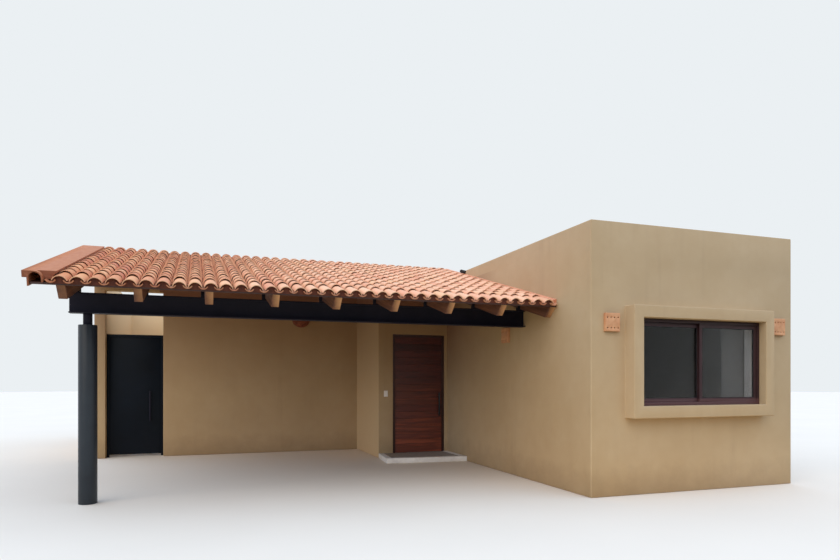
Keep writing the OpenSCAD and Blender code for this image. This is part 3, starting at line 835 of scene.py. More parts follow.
def grown(tree, name, **values):
    """A new object with the plain mesh that a geometry tree makes."""
    piece = new_piece(name, bpy.data.meshes.new(name))
    modifier = piece.modifiers.new("tree", "NODES")
    modifier.node_group = tree
    for item in tree.interface.items_tree:
        if item.in_out == "INPUT" and item.name in values:
            modifier[item.identifier] = values[item.name]
    return finished(piece)


TILE_TREE = tile_tree()
print("Tile tree has", len(TILE_TREE.nodes), "nodes")

# %% [markdown]
# The clay is pale peach on most of the roof, and orange to brick red near the free
# left edge, where another batch was laid. Each tile has its own tint, is a little
# cloudy, and is paler at its lip, where it is rubbed. A dark band just under the next
# tile's lip is painted shadow, soot and moss gather low on its sides, and the pans
# between the covers are dirtier.
# The bedding mortar is brown with clay dust. The mortar on the roof's free edge is
# painted terracotta: wide bands follow the slope where the trowel and the brush went.
# It is browner where it looks down or forward, which is painted shade. The fillet along
# the wall is pale.

# %% Fire the clay and mix the mortars
LEFT_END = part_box("carport_tiles")[0].x
RED_REACHES = LEFT_END + 3.6


def clay_material(name, worn, dirt):
    made, tree, shader, place = new_material(name, roughness=0.86)
    read = {label: add(tree, "ShaderNodeAttribute", attribute_name=label).outputs["Fac"]
        for label in ("tint", "firing", "along", "around")}
    peach = ramp(tree, read["tint"], (0.0, (240, 168, 126)), (0.12, (244, 178, 136)),
        (0.5, (248, 190, 146)), (0.85, (250, 196, 154)), (1.0, (244, 188, 138)))
    red = ramp(tree, read["tint"], (0.0, (208, 112, 72)), (0.3, (220, 136, 80)),
        (0.6, (234, 158, 98)), (0.85, (244, 176, 114)), (1.0, (218, 128, 86)))
    fired = ramp(tree, read["firing"], (0.0, (244, 240, 238)), (1.0, (255, 255, 255)))
    body = blend(tree, span(tree, axes(tree, place)[0], LEFT_END, RED_REACHES), red, peach)
    body = blend(tree, 1.0, body, fired, "MULTIPLY")
    cloud = effect(tree, patches_group, Place=place, Scale=9.0)
    body = tinted(tree, body, shade(222, 144, 96), cloud["Patches"], 0.18)
    body = tinted(tree, body, shade(176, 112, 80), cloud["Speckle"], 0.08)
    body = blend(tree, span(tree, read["along"], 0.0, 0.05, 0.4, 0.0), body, worn)
    # painted shadow: a dark band just under where the next tile's lip lies
    upper = span(tree, read["along"], 0.60, 0.66, 0.0, 0.6)
    side = span(tree, sums(tree, "ABSOLUTE", read["around"]), 0.6, 0.98, 0.0, 0.25)
    shadow_and_soot = sums(tree, "MAXIMUM", sums(tree, "MAXIMUM", upper, side), dirt)
    surface(tree, shader, blend(tree, shadow_and_soot, body, shade(140, 70, 44)), cloud["Height"], 0.004, 0.5)
    return made


def verge_material():
    made, tree, shader, place = new_material("verge_mortar", roughness=0.8)
    bands = span(tree, noise(tree, stretched(tree, place, (1, 0.08, 1)), 14.0, 3, 0.5), 0.3, 0.7)
    cloud = effect(tree, patches_group, Place=place, Scale=6.0)
    ahead, up = axes(tree, facing(tree))[1:]
    red = blend(tree, bands, shade(186, 113, 69), shade(198, 126, 80))
    red = tinted(tree, red, shade(168, 92, 54), cloud["Patches"], 0.2)
    # painted shade: browner where the surface looks down or forward
    red = blend(tree, span(tree, up, 0.0, -0.6, 0.0, 0.7), red, shade(92, 52, 38))
    red = blend(tree, span(tree, ahead, -0.5, -0.9, 0.0, 0.7), red, shade(140, 82, 54))
    surface(tree, shader, red, cloud["Height"], 0.006, 0.5)
    return made


ROOF_CLAY = clay_material("roof_clay", shade(250, 208, 168), 0.0)
PAN_CLAY = clay_material("pan_clay", shade(196, 140, 106), 0.45)
VERGE_MORTAR = verge_material()
BEDDING_MORTAR = cast_material("bedding_mortar", shade(108, 58, 42), shade(76, 42, 30), **MORTARED)
FILLET_MORTAR = cast_material("fillet_mortar", shade(236, 166, 128), shade(214, 138, 100), **MORTARED)
BITUMEN = cast_material("bitumen", shade(30, 27, 27), shade(22, 20, 20), **MORTARED)
print("Clay fired, peach beyond", round(RED_REACHES, 2))

# %% [markdown]
# The slope, the eave line and the number of columns all come from the CAD tiles. The
# eave course shows more of each tile than the rest, as its top lies bare of a second
# lip. Tiles that would pass the top are cut there, as a tiler cuts them, and a band
# of mortar closes them. The porch's tiles stand on a wedge of render on the porch's
# slab. A mortar fillet closes the roof against the room's wall, and a short strip of
# dark flashing lies on it.

# %% Tile the carport and the porch
FLASHING_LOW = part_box("porch_slab")[0].y + JUST_OFF
FLASHING_HIGH = FLASHING_LOW + 0.22
FLASHING = ((-0.03, 0.10), (-0.03, 0.142), (0, 0.155), (0, 0.10))
FILLET = ((-0.12, 0.02), (-0.12, 0.056), (-0.06, 0.082), (0, 0.092), (0, 0.02))
BED = [(y, lift) for y in (-0.05, -0.002) for lift in (-0.02, 0.05)]
BOARD = 0.026
PITCH = 0.1766
EAVE_SHOWN = 0.385
UPPER_SHOWN = 0.281
RIDGE_BACK = 0.104
WEDGE_SUNK, WEDGE_SHORT = 0.02, 0.002
FILLET_SHORT = (0.02, 0.01)
boards_low, boards_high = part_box("carport_boards")
RISE = (boards_high.z - boards_low.z - BOARD) / (boards_high.y - boards_low.y)
SLOPE = math.atan(RISE)


def on_slope(x, y, lift=0.0):
    """A point on the boards, or above them across the slope."""
    top = boards_low.z + BOARD + RISE * (y - boards_low.y)
    return Vector((x, y - lift * math.sin(SLOPE), top + lift * math.cos(SLOPE)))


def joined(name, pieces):
    """Several objects as one, with their attributes kept."""
    form = bmesh.new()
    finishes = []
    for piece in pieces:
        finish = [material for material in piece.data.materials if material][0]
        if finish not in finishes:
            finishes.append(finish)
        start = len(form.faces)
        form.from_mesh(piece.data)
        form.faces.ensure_lookup_table()
        for face in form.faces[start:]:
            face.material_index = finishes.index(finish)
    mesh = mesh_of(form, name)
    for finish in finishes:
        mesh.materials.append(finish)
    for piece in pieces:
        bpy.data.objects.remove(piece)
    return new_piece(name, mesh)


def trimmed(piece, top_y):
    """Cuts off what passes a line across the roof, and closes the cut."""
    form = form_of(piece.data)
    cut_at(form, (0, top_y, 0), (0, 1, 0), off=True)
    form.to_mesh(piece.data)
    form.free()
    return piece


def solid(name, form, finish):
    """An object whose faces all look outwards."""
    bmesh.ops.recalc_face_normals(form, faces=form.faces)
    return made_of(name, form, finish)


def wrapped(name, spots, finish):
    """The smallest solid round a few points."""
    form = bmesh.new()
    bmesh.ops.convex_hull(form, input=[form.verts.new(spot) for spot in spots])
    return solid(name, form, finish)


def tiled(name, first_x, columns, top_y, seed):
    """Eave tiles, covers, pans and mortar from the eave up to a line."""
    run = (top_y - bay_low.y) / math.cos(SLOPE)
    courses = math.ceil((run - EAVE_SHOWN) / UPPER_SHOWN)
    layers = (
        (eave_cover, ROOF_CLAY, 0, 1, dict(Start=0.004, Lift=EAVE_LIFT, Slip=0.004, Turn=0.012)),
        (cover, ROOF_CLAY, 1, courses,
            dict(Start=EAVE_SHOWN, Lift=COVER_LIFT, Tilt=0.012, Slip=0.014, Turn=0.012)),
        (pan, PAN_CLAY, 2, courses + 1, dict(Start=0.006, Lift=0.064, Tilt=0.036, Slip=0.004, Turn=0.006)),
        (bedding, BEDDING_MORTAR, 0, 1, dict(Start=0.004, Lift=EAVE_LIFT - 0.002, Slip=0.004)),
        (bedding, BEDDING_MORTAR, 0, 1, dict(Start=run - RIDGE_BACK, Lift=COVER_LIFT)))
    pieces = []
    for number, (tile, clay, draw, rows, lay) in enumerate(layers):
        extra = 1 if tile is pan else 0
        pieces.append(grown(TILE_TREE, f"{name}_{number}", Tile=tile, Clay=clay, Columns=columns + extra,
            Courses=rows, Seed=seed + draw, Corner=on_slope(first_x - extra * PITCH / 2, bay_low.y),
            Pitch=PITCH, Slope=SLOPE, Sideways=0.003, Exposure=UPPER_SHOWN, **lay))
    ends = (first_x - PITCH / 2, first_x + (columns - 0.5) * PITCH)
    spots = [on_slope(x, top_y + y, lift) for x in ends for y, lift in BED]
    pieces.append(wrapped(name + "_bed", spots, BEDDING_MORTAR))
    return trimmed(joined(name, pieces), top_y)


def extruded(name, edge, section, low_y, high_y, finish):
    """A section of sideways and lift values, drawn up the slope between two lines."""
    form = bmesh.new()
    near, far = [[form.verts.new(on_slope(edge + side, y, lift)) for side, lift in section]
        for y in (low_y, high_y)]
    form.faces.new(near)
    form.faces.new(far)
    for step in range(len(section)):
        form.faces.new((near[step - 1], near[step], far[step], far[step - 1]))
    return solid(name, form, finish)


def porch_wedge():
    """The masonry on the porch's slab that carries its tiles up to the ridge line."""
    low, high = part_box("porch_slab")
    foot = high.z - WEDGE_SUNK
    start = boards_low.y + (foot - boards_low.z - BOARD) / RISE
    top_y = bay_high.y - WEDGE_SHORT
    spots = [(x, y, z) for x in (low.x, high.x) for y, z in
        ((start, foot), (top_y, foot), (top_y, on_slope(x, top_y).z))]
    return wrapped("porch_wedge", spots, RENDER)


bay_low, bay_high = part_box("carport_tiles")
bay_columns = round((bay_high.x - bay_low.x) / PITCH)
bay_tiles = tiled("carport_tile_courses", bay_high.x - (bay_columns - 0.5) * PITCH, bay_columns, bay_high.y, 3)
fit(bay_tiles, "house", "roof_clay", "carport_tiles")
porch_low, porch_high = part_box("porch_tiles")
porch_columns = int((porch_high.x - porch_low.x) / PITCH)
porch_tiles = tiled("porch_tile_courses", porch_low.x + PITCH / 2, porch_columns, bay_high.y, 11)
fit(porch_tiles, "house", "roof_clay", "porch_tiles")
fit(porch_wedge(), "house", "render")
fillet = extruded("wall_fillet", porch_high.x, FILLET, boards_low.y + FILLET_SHORT[0],
    bay_high.y - FILLET_SHORT[1], FILLET_MORTAR)
fit(fillet, "house", "roof_clay")
flashing = extruded("lead_strip", porch_high.x, FLASHING, FLASHING_LOW, FLASHING_HIGH, BITUMEN)
fit(flashing, "house", "beam_paint")
for form in TILE_FORMS:
    bpy.data.objects.remove(form)
print("Slope in degrees", round(math.degrees(SLOPE), 2), "columns", bay_columns, "and", porch_columns)
print("Tile faces", len(bay_tiles.data.polygons) + len(porch_tiles.data.polygons))

# %% [markdown]
# Sawn timber shows in three places: the rafters, the boards on them and the front
# door. All share one way of colouring: bands and fibres run along the wood, and each
# board moves the pattern by its own random number, so no two are alike.
# The sawn ends of the rafters are paler and rougher, as end grain is, and browner
# near the free left edge. The edges of the roof boards are darkened with painted shade.
# The door's planks are lighter towards the foot, each by its own amount, which is
# painted light from the ground.

# %% Saw and stain the timber
PATTERN_SHIFTS = (31.0, 57.0, 13.0)
BROWN_ENDS_REACH = LEFT_END + 2.6


def timber_material(name, turn, pale, deep, streak, fineness=60.0, roughness=0.6, coat=0.0, end_grain=False,
        foot_light=None, edge_shade=None):
    made, tree, shader, place = new_material(name, roughness=roughness, Coat_Weight=coat, Coat_Roughness=0.25)
    tint = add(tree, "ShaderNodeAttribute", attribute_name="tint").outputs["Fac"]
    shift = vector(tree, *[product(tree, tint, size) for size in PATTERN_SHIFTS])
    turned = stretched(tree, place, (1, 1, 1), turn)
    moved = add(tree, "ShaderNodeVectorMath", {0: turned, 1: shift}, operation="ADD").outputs[0]
    grain = effect(tree, grain_group, Place=moved, Fineness=fineness)
    wood = blend(tree, grain["Bands"], deep, pale)
    wood = tinted(tree, wood, streak, grain["Fibres"], 0.5)
    board = ramp(tree, tint, (0.0, (188, 180, 176)), (0.5, (232, 228, 224)), (1.0, (255, 255, 255)))
    wood = blend(tree, 1.0, wood, board, "MULTIPLY")
    # painted light: the planks are lighter towards the foot, where the bright ground lights them
    if foot_light:
        wavy = sums(tree, "MULTIPLY_ADD", grain["Bands"], 0.3, axes(tree, place)[2])
        low = span(tree, sums(tree, "MULTIPLY_ADD", tint, 0.9, wavy), 0.9, 2.2, 1.0, 0.0)
        ribbons = noise(tree, stretched(tree, moved, (1, 0.06, 1)), 22.0, 2, 0.5)
        wood = tinted(tree, wood, foot_light, low, span(tree, ribbons, 0.46, 0.62, 0.3, 0.8))
    ends = span(tree, sums(tree, "ABSOLUTE", axes(tree, facing(tree))[1]), 0.6, 0.9)
    # painted shade: faces that look along Y, such as the boards' front edge, are darkened
    if edge_shade:
        wood = blend(tree, ends, wood, edge_shade)
    if end_grain:
        sawn = blend(tree, noise(tree, place, 70.0, 3, 0.7), shade(255, 182, 116), shade(255, 208, 152))
        right = span(tree, axes(tree, place)[0], LEFT_END, BROWN_ENDS_REACH)
        wood = blend(tree, ends, wood, blend(tree, right, shade(130, 84, 46), sawn))
    surface(tree, shader, wood, grain["Height"], 0.0025, 0.5)
    return made


RAFTER_WOOD = timber_material("rafter_timber", (-SLOPE, 0, 0), shade(192, 134, 98), shade(136, 88, 64),
    shade(90, 48, 38), end_grain=True)
BOARD_WOOD = timber_material("roof_board_timber", (0, 0, QUARTER), shade(112, 68, 46), shade(78, 44, 32),
    shade(84, 46, 34), edge_shade=shade(64, 38, 30))
DOOR_WOOD = timber_material("door_timber", (0, 0, QUARTER), shade(74, 31, 26), shade(36, 18, 20),
    shade(128, 50, 34), fineness=90.0, roughness=0.45, coat=0.08, foot_light=shade(160, 76, 44))
print("Timber stained")

# %% [markdown]
# Boards lie side by side on the rafters, and the door is made of planks between its
# edges. One geometry tree lays both: a plank with eased edges is repeated at its own
# width, and the whole field is then turned onto the slope or stood upright.

# %% Lay boards and planks
def plank(name, length, width, thickness, ease=0.002):
    """One board along +X with eased edges. Its outer face is at Z 0."""
    form = bmesh.new()
    bmesh.ops.create_cube(form, size=1)
    bmesh.ops.scale(form, verts=form.verts, vec=(length, width, thickness))
    bmesh.ops.translate(form, verts=form.verts, vec=(length / 2, width / 2, -thickness / 2))
    bmesh.ops.bevel(form, geom=form.edges[:], offset=ease, segments=2, profile=0.5, affect="EDGES")
    return made_of(name, form)


def plank_tree():
    tree, given, out = new_group("plank_field", "GeometryNodeTree",
        {"Plank": OBJECT, "Count": INTEGER, "Step": FLOAT, "Seed": INTEGER, "Corner": VECTOR, "Turn": VECTOR,
            "Wood": MATERIAL}, {"Planks": GEOMETRY})
    index = add(tree, "GeometryNodeInputIndex").outputs[0]
    sockets = {"Count": given["Count"], "Position": vector(tree, 0.0, product(tree, index, given["Step"]))}
    points = add(tree, "GeometryNodePoints", sockets).outputs[0]
    laid = numbered(tree, copies(tree, points, given["Plank"]), "tint", chance(tree, given["Seed"]))
    wire(tree, clad(tree, laid, given["Wood"], given["Corner"], given["Turn"]), out["Planks"])
    return tree


PLANK_TREE = plank_tree()


def planked(name, corner, turn, length, run, width, thickness, wood, seed, gap=0.002):
    """A field of planks, as many as come nearest to the wanted width."""
    count = round(run / width)
    step = run / count
    board = plank(name + "_plank", length, step - gap, thickness)
    made = grown(PLANK_TREE, name, Plank=board, Count=count, Step=step, Seed=seed, Corner=corner, Turn=turn,
        Wood=wood)
    bpy.data.objects.remove(board)
    print(name, count, "boards of", round(step, 4), "m")
    return made


BOARD_WIDTH = 0.14
BOARD_BELOW, BOARD_THINNER, BOARDS_SHORTER = 0.0004, 0.0015, 0.007


def roof_boards(node, seed):
    """Boards a hair inside the CAD node, so that they never pass it."""
    low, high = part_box(node)
    run = (high.y - low.y) / math.cos(SLOPE) - BOARDS_SHORTER
    boards = planked(node + "_laid", on_slope(low.x, low.y, -BOARD_BELOW), (SLOPE, 0, 0), high.x - low.x,
        run, BOARD_WIDTH, BOARD - BOARD_THINNER, BOARD_WOOD, seed)
    return fit(boards, "house", "timber", node)


roof_boards("carport_boards", 5)
roof_boards("porch_boards", 6)

# %% [markdown]
# CAD nodes whose shape is right are kept, and only their hard edges are broken:
# a copy gets its doubles merged and a fine bevel, and stands for the node. The
# rafters, the beam and the column are dressed like this.

# %% Dress the carport's frame
def dressed(node, body, slot, material, width=0.003, segments=2, angle=35):
    """A CAD node with broken edges and its finish."""
    piece = made_of(node + "_finish", merged(node), material)
    return fit(soften(piece, width, segments, angle), body, slot, node)


SILL_DUST, HEAD_SHADE = shade(88, 58, 56), shade(44, 26, 25)
SILL_FADE, HEAD_FADE = (0.07, 0.10), (-0.08, -0.05)


def steel_material(name, paint_colour, worn, roughness=0.45, gloss=0.3, dust=0.35, dust_colour=(128, 118, 104),
        between=None):
    """Brushed paint on steel, a little cloudy, with dust on what faces up. Between a
    foot and a head it is paler near the first and darker near the second."""
    made, tree, shader, place = new_material(name, roughness=roughness, Specular_IOR_Level=gloss)
    cloud = effect(tree, patches_group, Place=place, Scale=3.5)
    coat = blend(tree, cloud["Patches"], paint_colour, worn)
    if between:
        foot, head = between
        height = axes(tree, place)[2]
        low = span(tree, height, foot + SILL_FADE[0], foot + SILL_FADE[1], 1.0, 0.0)
        top = span(tree, height, head + HEAD_FADE[0], head + HEAD_FADE[1])
        coat = blend(tree, top, blend(tree, low, coat, SILL_DUST), HEAD_SHADE)
    settled = effect(tree, dust_group, Place=place, Facing=facing(tree), Amount=dust)["Mask"]
    wire(tree, span(tree, cloud["Speckle"], 0.0, 1.0, roughness - 0.07, roughness + 0.12), shader["Roughness"])
    brushed = noise(tree, place, 300.0, 2, 0.5)
    surface(tree, shader, blend(tree, settled, coat, shade(*dust_colour)), brushed, 0.0006, 0.5)
    return made


BEAM_PAINT = steel_material("beam_paint", shade(31, 31, 41), shade(38, 37, 48), gloss=0.08)
COLUMN_PAINT = steel_material("column_paint", shade(39, 46, 52), shade(33, 39, 45), roughness=0.36, gloss=0.35)
beam_low, beam_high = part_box("steel_beam")
dressed("steel_beam", "house", "beam_paint", BEAM_PAINT, 0.002)
dressed("column", "house", "column_paint", COLUMN_PAINT, 0.003)
dressed("column_neck", "house", "column_paint", BEAM_PAINT, 0.002)
dressed("rafter_brackets", "house", "beam_paint", BEAM_PAINT, 0.001)
dressed("rafters", "house", "timber", RAFTER_WOOD, 0.005, 3)
print("Rafters and column stand dressed with the beam", [round(size, 3) for size in beam_high - beam_low])

# %% [markdown]
# Each cleat is held to its rafter by two bolts. A bolt is a washer and a six-sided
# head with a chamfer. Its places come from the rafters' left faces in the frame, as
# loose points that a small tree turns into bolts.

# %% Bolt the cleats
def islands(node):
    """The box of each separate solid of a CAD node, from left to right."""
    form = merged(node)
    left = set(form.verts)
    boxes = []
    while left:
        found = [left.pop()]
        for vert in found:
            for edge in vert.link_edges:
                other = edge.other_vert(vert)
                if other in left:
                    left.discard(other)
                    found.append(other)
        spots = [vert.co for vert in found]
        low = Vector(min(spot[axis] for spot in spots) for axis in range(3))
        boxes.append((low, Vector(max(spot[axis] for spot in spots) for axis in range(3))))
    form.free()
    return sorted(boxes, key=lambda pair: tuple(pair[0]))


WASHER, WASHER_TOP = 0.016, 0.002
HEAD, HEAD_TOP = 0.010, 0.007
CHAMFERED, CHAMFER_TOP = 0.0082, 0.0085


def bolt():
    """A hexagon head on its washer, pointing along -X."""
    form = bmesh.new()
    aim = Matrix.Rotation(-QUARTER, 4, "Y")
    for sides, r_low, r_high, start, end in ((24, WASHER, WASHER, 0, WASHER_TOP),
            (6, HEAD, HEAD, WASHER_TOP, HEAD_TOP), (6, HEAD, CHAMFERED, HEAD_TOP, CHAMFER_TOP)):
        place = aim @ Matrix.Translation((0, 0, (start + end) / 2))
        bmesh.ops.create_cone(form, cap_ends=True, segments=sides, radius1=r_low, radius2=r_high,
            depth=end - start, matrix=place)
    return made_of("bolt", form)


def scatter_tree():
    """Puts one small part on each point of a mesh."""
    tree, given, out = new_group("parts_on_points", "GeometryNodeTree",
        {"Part": OBJECT, "Places": OBJECT, "Finish": MATERIAL}, {"Parts": GEOMETRY})
    places = add(tree, "GeometryNodeObjectInfo", {"Object": given["Places"]}).outputs["Geometry"]
    wire(tree, clad(tree, copies(tree, places, given["Part"]), given["Finish"]), out["Parts"])
    return tree


SCATTER_TREE = scatter_tree()


def scattered(name, part, spots, finish):
    """Copies of a part at a list of places, as one mesh."""
    mesh = bpy.data.meshes.new(name + "_places")
    mesh.from_pydata(spots, [], [])
    places = new_piece(name + "_places", mesh)
    made = grown(SCATTER_TREE, name, Part=part, Places=places, Finish=finish)
    for spare in (part, places):
        bpy.data.objects.remove(spare)
    return made


CLEAT = 0.006
BOLT_INSET = 0.027
BOLT_HEIGHTS = (0.032, 0.082)
bolt_spots = [(low.x - CLEAT, beam_low.y + BOLT_INSET, beam_high.z + height)
    for low, high in islands("rafters") for height in BOLT_HEIGHTS]
fit(scattered("cleat_bolts", bolt(), bolt_spots, BEAM_PAINT), "house", "beam_paint")
print("Bolts", len(bolt_spots))

# %% [markdown]
# The roof's free edge is one barrel of tiles under a cap of painted mortar. The cap's
# top is two planes that meet in a slight fold, so here even slight folds are rounded,
# and the planes stay flat in the light.

# %% Dress the free edge
dressed("verge_tiles", "house", "roof_clay", VERGE_MORTAR, 0.004, 2, angle=6)

# %% [markdown]
# The windows are sliding sashes of dark maroon-brown aluminium, paler with dust at the
# sill and darker in the shade of the head. Frames and sashes come from the CAD model.
# Each pane is held by a thin black rubber gasket on both faces.

# %% Glaze the windows
WINDOW_PAINT = steel_material("window_paint", shade(58, 35, 36), shade(49, 30, 31), roughness=0.38, gloss=0.25,
    dust=0.5, dust_colour=(120, 88, 78), between=(frames_low.z, frames_high.z))
dressed("window_frames", "house", "window_paint", WINDOW_PAINT, 0.002)
dressed("window_sashes", "house", "window_paint", WINDOW_PAINT, 0.002)


def glass_material():
    made, tree, shader, place = new_material("window_glass", roughness=0.02, Transmission_Weight=1.0, IOR=1.33,
        Alpha=0.4)
    cloud = effect(tree, patches_group, Place=place, Scale=2.0)
    wire(tree, blend(tree, cloud["Patches"], shade(206, 208, 207), shade(222, 222, 221)), shader["Base Color"])
    wire(tree, span(tree, cloud["Speckle"], 0.0, 1.0, 0.0, 0.05), shader["Roughness"])
    return made


def soft_material(name, dark, light, scale, roughness):
    """Rubber or plastic, a little cloudy."""
    made, tree, shader, place = new_material(name, roughness=roughness)
    cloud = effect(tree, patches_group, Place=place, Scale=scale)
    wire(tree, blend(tree, cloud["Patches"], dark, light), shader["Base Color"])
    return made


RUBBER = soft_material("black_rubber", shade(22, 22, 23), shade(36, 35, 35), 30.0, 0.7)
paint("window_glass", glass_material())


def add_box(form, low, high, ease=0.0):
    """A box between two corners, with eased edges."""
    size = Vector(high) - Vector(low)
    made = bmesh.ops.create_cube(form, size=1)["verts"]
    bmesh.ops.scale(form, verts=made, vec=size)
    bmesh.ops.translate(form, verts=made, vec=Vector(low) + size / 2)
    if ease:
        edges = {edge for vert in made for edge in vert.link_edges}
        bmesh.ops.bevel(form, geom=list(edges), offset=ease, segments=2, profile=0.5, affect="EDGES")


GASKET_WIDTH, GASKET_PROUD = 0.007, 0.004


def gaskets():
    """Rubber strips round every pane, on both faces."""
    form = bmesh.new()
    for low, high in islands("window_glass"):
        left, right = low.x + GASKET_WIDTH, high.x - GASKET_WIDTH
        sill, head = low.z + GASKET_WIDTH, high.z - GASKET_WIDTH
        for y in (low.y - GASKET_PROUD, high.y):
            for x0, z0, x1, z1 in ((low.x, low.z, high.x, sill), (low.x, head, high.x, high.z),
                    (low.x, sill, left, head), (right, sill, high.x, head)):
                add_box(form, (x0, y, z0), (x1, y + GASKET_PROUD, z1))
    return made_of("window_gaskets", form, RUBBER)


fit(gaskets(), "house", "handle_paint")
print("Panes", len(islands("window_glass")))

# %% [markdown]
# The front door is a solid leaf of wide horizontal planks in dark red tropical wood,
# varnished, with small open joints. The planks go right through the leaf, and a thin
# dark core closes the joints. The frame is the same wood, almost black.

# %% Hang the front door
DOOR_DARK = timber_material("door_frame_timber", (QUARTER, 0, 0), shade(84, 40, 29), shade(58, 28, 22),
    shade(100, 50, 34), fineness=110.0, roughness=0.55, coat=0.05)
door_low, door_high = max(islands("front_door"), key=lambda pair: pair[1].z - pair[0].z)
PLANK_WIDTH, JOINT = 0.138, 0.0025
CORE_INSET = Vector((0.002, 0.012, 0.002))
KNUCKLE = 0.2


def door_leaf():
    size = door_high - door_low
    planks = planked("door_planks", door_low, (QUARTER, 0, 0), size.x, size.z, PLANK_WIDTH, size.y, DOOR_WOOD,
        8, gap=JOINT)
    return fit(planks, "door_leaf", "door_wood", "front_door")


def door_core():
    """The dark core behind the joints, and the knuckles of the leaf's hinges."""
    form = bmesh.new()
    add_box(form, door_low + CORE_INSET, door_high - CORE_INSET)
    for low, high in islands("front_door"):
        if high.z - low.z < KNUCKLE:
            add_box(form, low, high)
    return fit(made_of("door_core", form, DOOR_DARK), "door_leaf", "door_wood")


door_leaf()
door_core()
dressed("door_frame", "house", "door_wood", DOOR_DARK, 0.003)
HANDLE_PAINT = steel_material("handle_paint", shade(24, 24, 28), shade(34, 34, 38), roughness=0.32, dust=0.2)
dressed("door_handle", "door_leaf", "handle_paint", HANDLE_PAINT, 0.003, 3)
print("Door leaf", [round(size, 3) for size in door_high - door_low])

# %% [markdown]
# The passage gate is one sheet of steel on a folded frame, painted blue-black. Sheet
# steel is never quite flat, so a slow, shallow height bends its reflections. Its pull
# handle has the beam's paint.

# %% Hang the gate
def gate_material():
    made, tree, shader, place = new_material("gate_paint", roughness=0.42, Specular_IOR_Level=0.12)
    cloud = effect(tree, patches_group, Place=place, Scale=1.6)
    navy = blend(tree, cloud["Patches"], shade(9, 15, 22), shade(13, 21, 31))
    splash = effect(tree, splash_group, Place=place, Reach=0.5)["Mask"]
    coat = tinted(tree, navy, shade(70, 64, 56), splash, 0.05)
    surface(tree, shader, coat, noise(tree, place, 2.2, 1, 0.4), 0.02, 0.25)
    return made


GATE_PAINT = gate_material()
dressed("gate", "gate_leaf", "gate_paint", GATE_PAINT, 0.004)
dressed("gate_frame", "house", "gate_paint", GATE_PAINT, 0.002)
dressed("gate_handle", "gate_leaf", "handle_paint", BEAM_PAINT, 0.003, 3)

# %% [markdown]
# The step before the door is a cast slab with a pale rim round a darker field of
# honed stone. Both finishes lie on one piece and are told apart by where a face is.

# %% Set the step
STONE = dict(roughness=0.75, speckle=0.3, splash=shade(150, 138, 122))
FIELD_DROP = 0.002
step_rim = cast_material("step_rim", shade(250, 244, 232), shade(234, 227, 214), 9.0, **STONE)
step_field = cast_material("step_field", shade(176, 166, 154), shade(152, 142, 130), 14.0, **STONE)
step = dressed("entry_step", "house", "step_stone", step_rim, 0.006, 3)
step.data.materials.append(step_field)
step_low, step_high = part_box("entry_step")
for face in step.data.polygons:
    flat = face.normal.z > 0.9 and face.center.z < step_high.z - FIELD_DROP
    face.material_index = 1 if flat else 0
print("Step", [round(size, 3) for size in step_high - step_low])

# %% [markdown]
# The box lamps are thrown from the same clay as the tiles, with two rows of four small
# holes that let light out sideways. The holes are real: a geometry tree sets out
# short pegs, and a Boolean takes them out of the clay, before the edges are rounded
# like soft clay. A dark plate on the wall shows through them: painted shade for the
# dark inside of each lamp.
# The half bowl in the carport is a darker, redder clay and only smoothed.

# %% Pierce the box lamps
LAMP_CLAY = cast_material("lamp_clay", shade(226, 170, 122), shade(206, 144, 98), 10.0, 0.85,
    speckle=0.2, spots=shade(172, 104, 70))
# darker, redder clay for the half bowl
DARK_BOWL_CLAY = cast_material("sooty_clay", shade(150, 84, 58), shade(96, 46, 34), **MORTARED)
# a dark plate inside each lamp, painted shade for its dark inside
LAMP_BACK_SHADE = cast_material("lamp_back_rust", shade(96, 56, 34), shade(70, 40, 26), **MORTARED)
HOLE, PEG_LENGTH = 0.010, 0.06
HOLE_STEP, HOLE_COLUMNS = 0.055, 4
HOLE_ROWS = (0.046, 0.186)
PLATE_INSET, PLATE = 0.03, 0.006


def peg(name, turn):
    """A round peg across the lamp's front plate."""
    form = bmesh.new()
    matrix = Matrix.Rotation(turn, 4, "Z") @ Matrix.Rotation(QUARTER, 4, "X")
    bmesh.ops.create_cone(form, cap_ends=True, segments=16, radius1=HOLE, radius2=HOLE, depth=PEG_LENGTH,
        matrix=matrix)
    return made_of(name, form)


def lamp_holes(low, high, number):
    """Pegs for one lamp. The lamp stands out along -Y, or along -X on the side wall."""
    along_x = high.x - low.x > high.y - low.y
    middle = (low + high) / 2
    spots = []
    for column in range(HOLE_COLUMNS):
        offset = (column - (HOLE_COLUMNS - 1) / 2) * HOLE_STEP
        for z in (low.z + height for height in HOLE_ROWS):
            spots.append((middle.x + offset, low.y, z) if along_x else (low.x, middle.y + offset, z))
    return scattered(f"holes_{number}", peg(f"peg_{number}", 0 if along_x else QUARTER), spots, LAMP_CLAY)


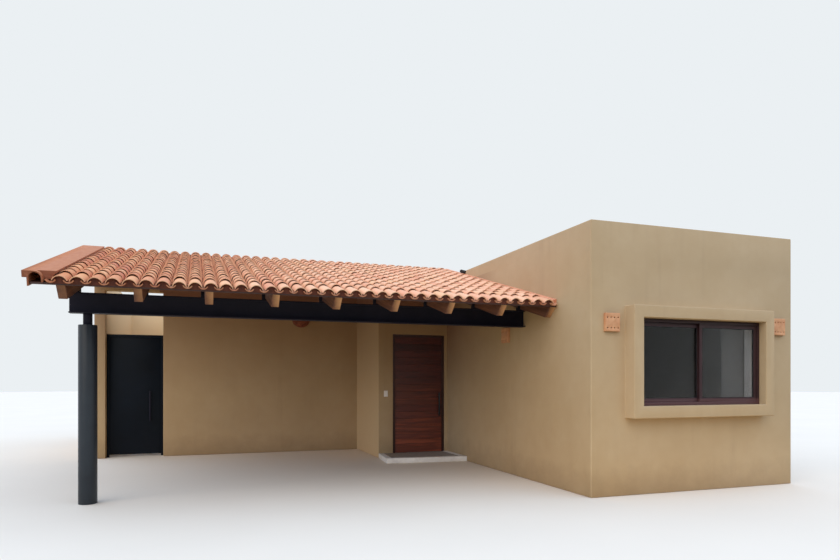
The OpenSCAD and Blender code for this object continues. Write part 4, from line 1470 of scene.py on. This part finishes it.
def lamp_backs():
    """A dark plate on the wall inside each lamp, which its holes show: painted shade for the lamp's dark
    inside.
    """
    form = bmesh.new()
    for low, high in islands("box_lamps"):
        along_x = high.x - low.x > high.y - low.y
        inset = Vector((PLATE_INSET, 0, PLATE_INSET)) if along_x else Vector((0, PLATE_INSET, PLATE_INSET))
        depth = Vector((0, high.y - low.y - PLATE, 0)) if along_x else Vector((high.x - low.x - PLATE, 0, 0))
        add_box(form, low + inset + depth, high - inset, 0.001)
    return made_of("lamp_back_plates", form, LAMP_BACK_SHADE)


def box_lamps():
    lamps = made_of("clay_box_lamps", merged("box_lamps"), LAMP_CLAY)
    for number, (low, high) in enumerate(islands("box_lamps")):
        pegs = lamp_holes(low, high, number)
        holes = lamps.modifiers.new("holes", "BOOLEAN")
        holes.operation = "DIFFERENCE"
        holes.solver = "EXACT"
        holes.object = pegs
        finished(lamps)
        bpy.data.objects.remove(pegs)
    fit(lamp_backs(), "house", "lamp_clay")
    return fit(soften(lamps, 0.003, 2), "house", "lamp_clay", "box_lamps")


box_lamps()
dressed("bowl_lamp", "house", "lamp_clay", DARK_BOWL_CLAY, 0.004, 3)
print("Lamps", len(islands("box_lamps")))

# %% [markdown]
# The switch by the door is a white plate with a wide rocker in a shallow frame.

# %% Fix the switch
WHITE_PLASTIC = soft_material("switch_plastic", shade(250, 244, 234), shade(254, 250, 243), 20.0, 0.4)
ROCKER_FRAME = (0.024, 0.036, 0.002, 0.001)
ROCKER = (0.019, 0.030, 0.0, 0.0015)
PLATE_BACK = Vector((0, 0.004, 0))


def switch():
    """The plate, the shallow frame and the rocker."""
    low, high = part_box("switch_plate")
    middle = (low + high) / 2
    form = bmesh.new()
    add_box(form, low + PLATE_BACK, high, 0.002)
    for x, z, back, ease in (ROCKER_FRAME, ROCKER):
        add_box(form, (middle.x - x, low.y + back, middle.z - z), (middle.x + x, high.y, middle.z + z), ease)
    return fit(made_of("switch_and_rocker", form, WHITE_PLASTIC), "house", "switch_plastic", "switch_plate")


switch()
print("Switch fixed")
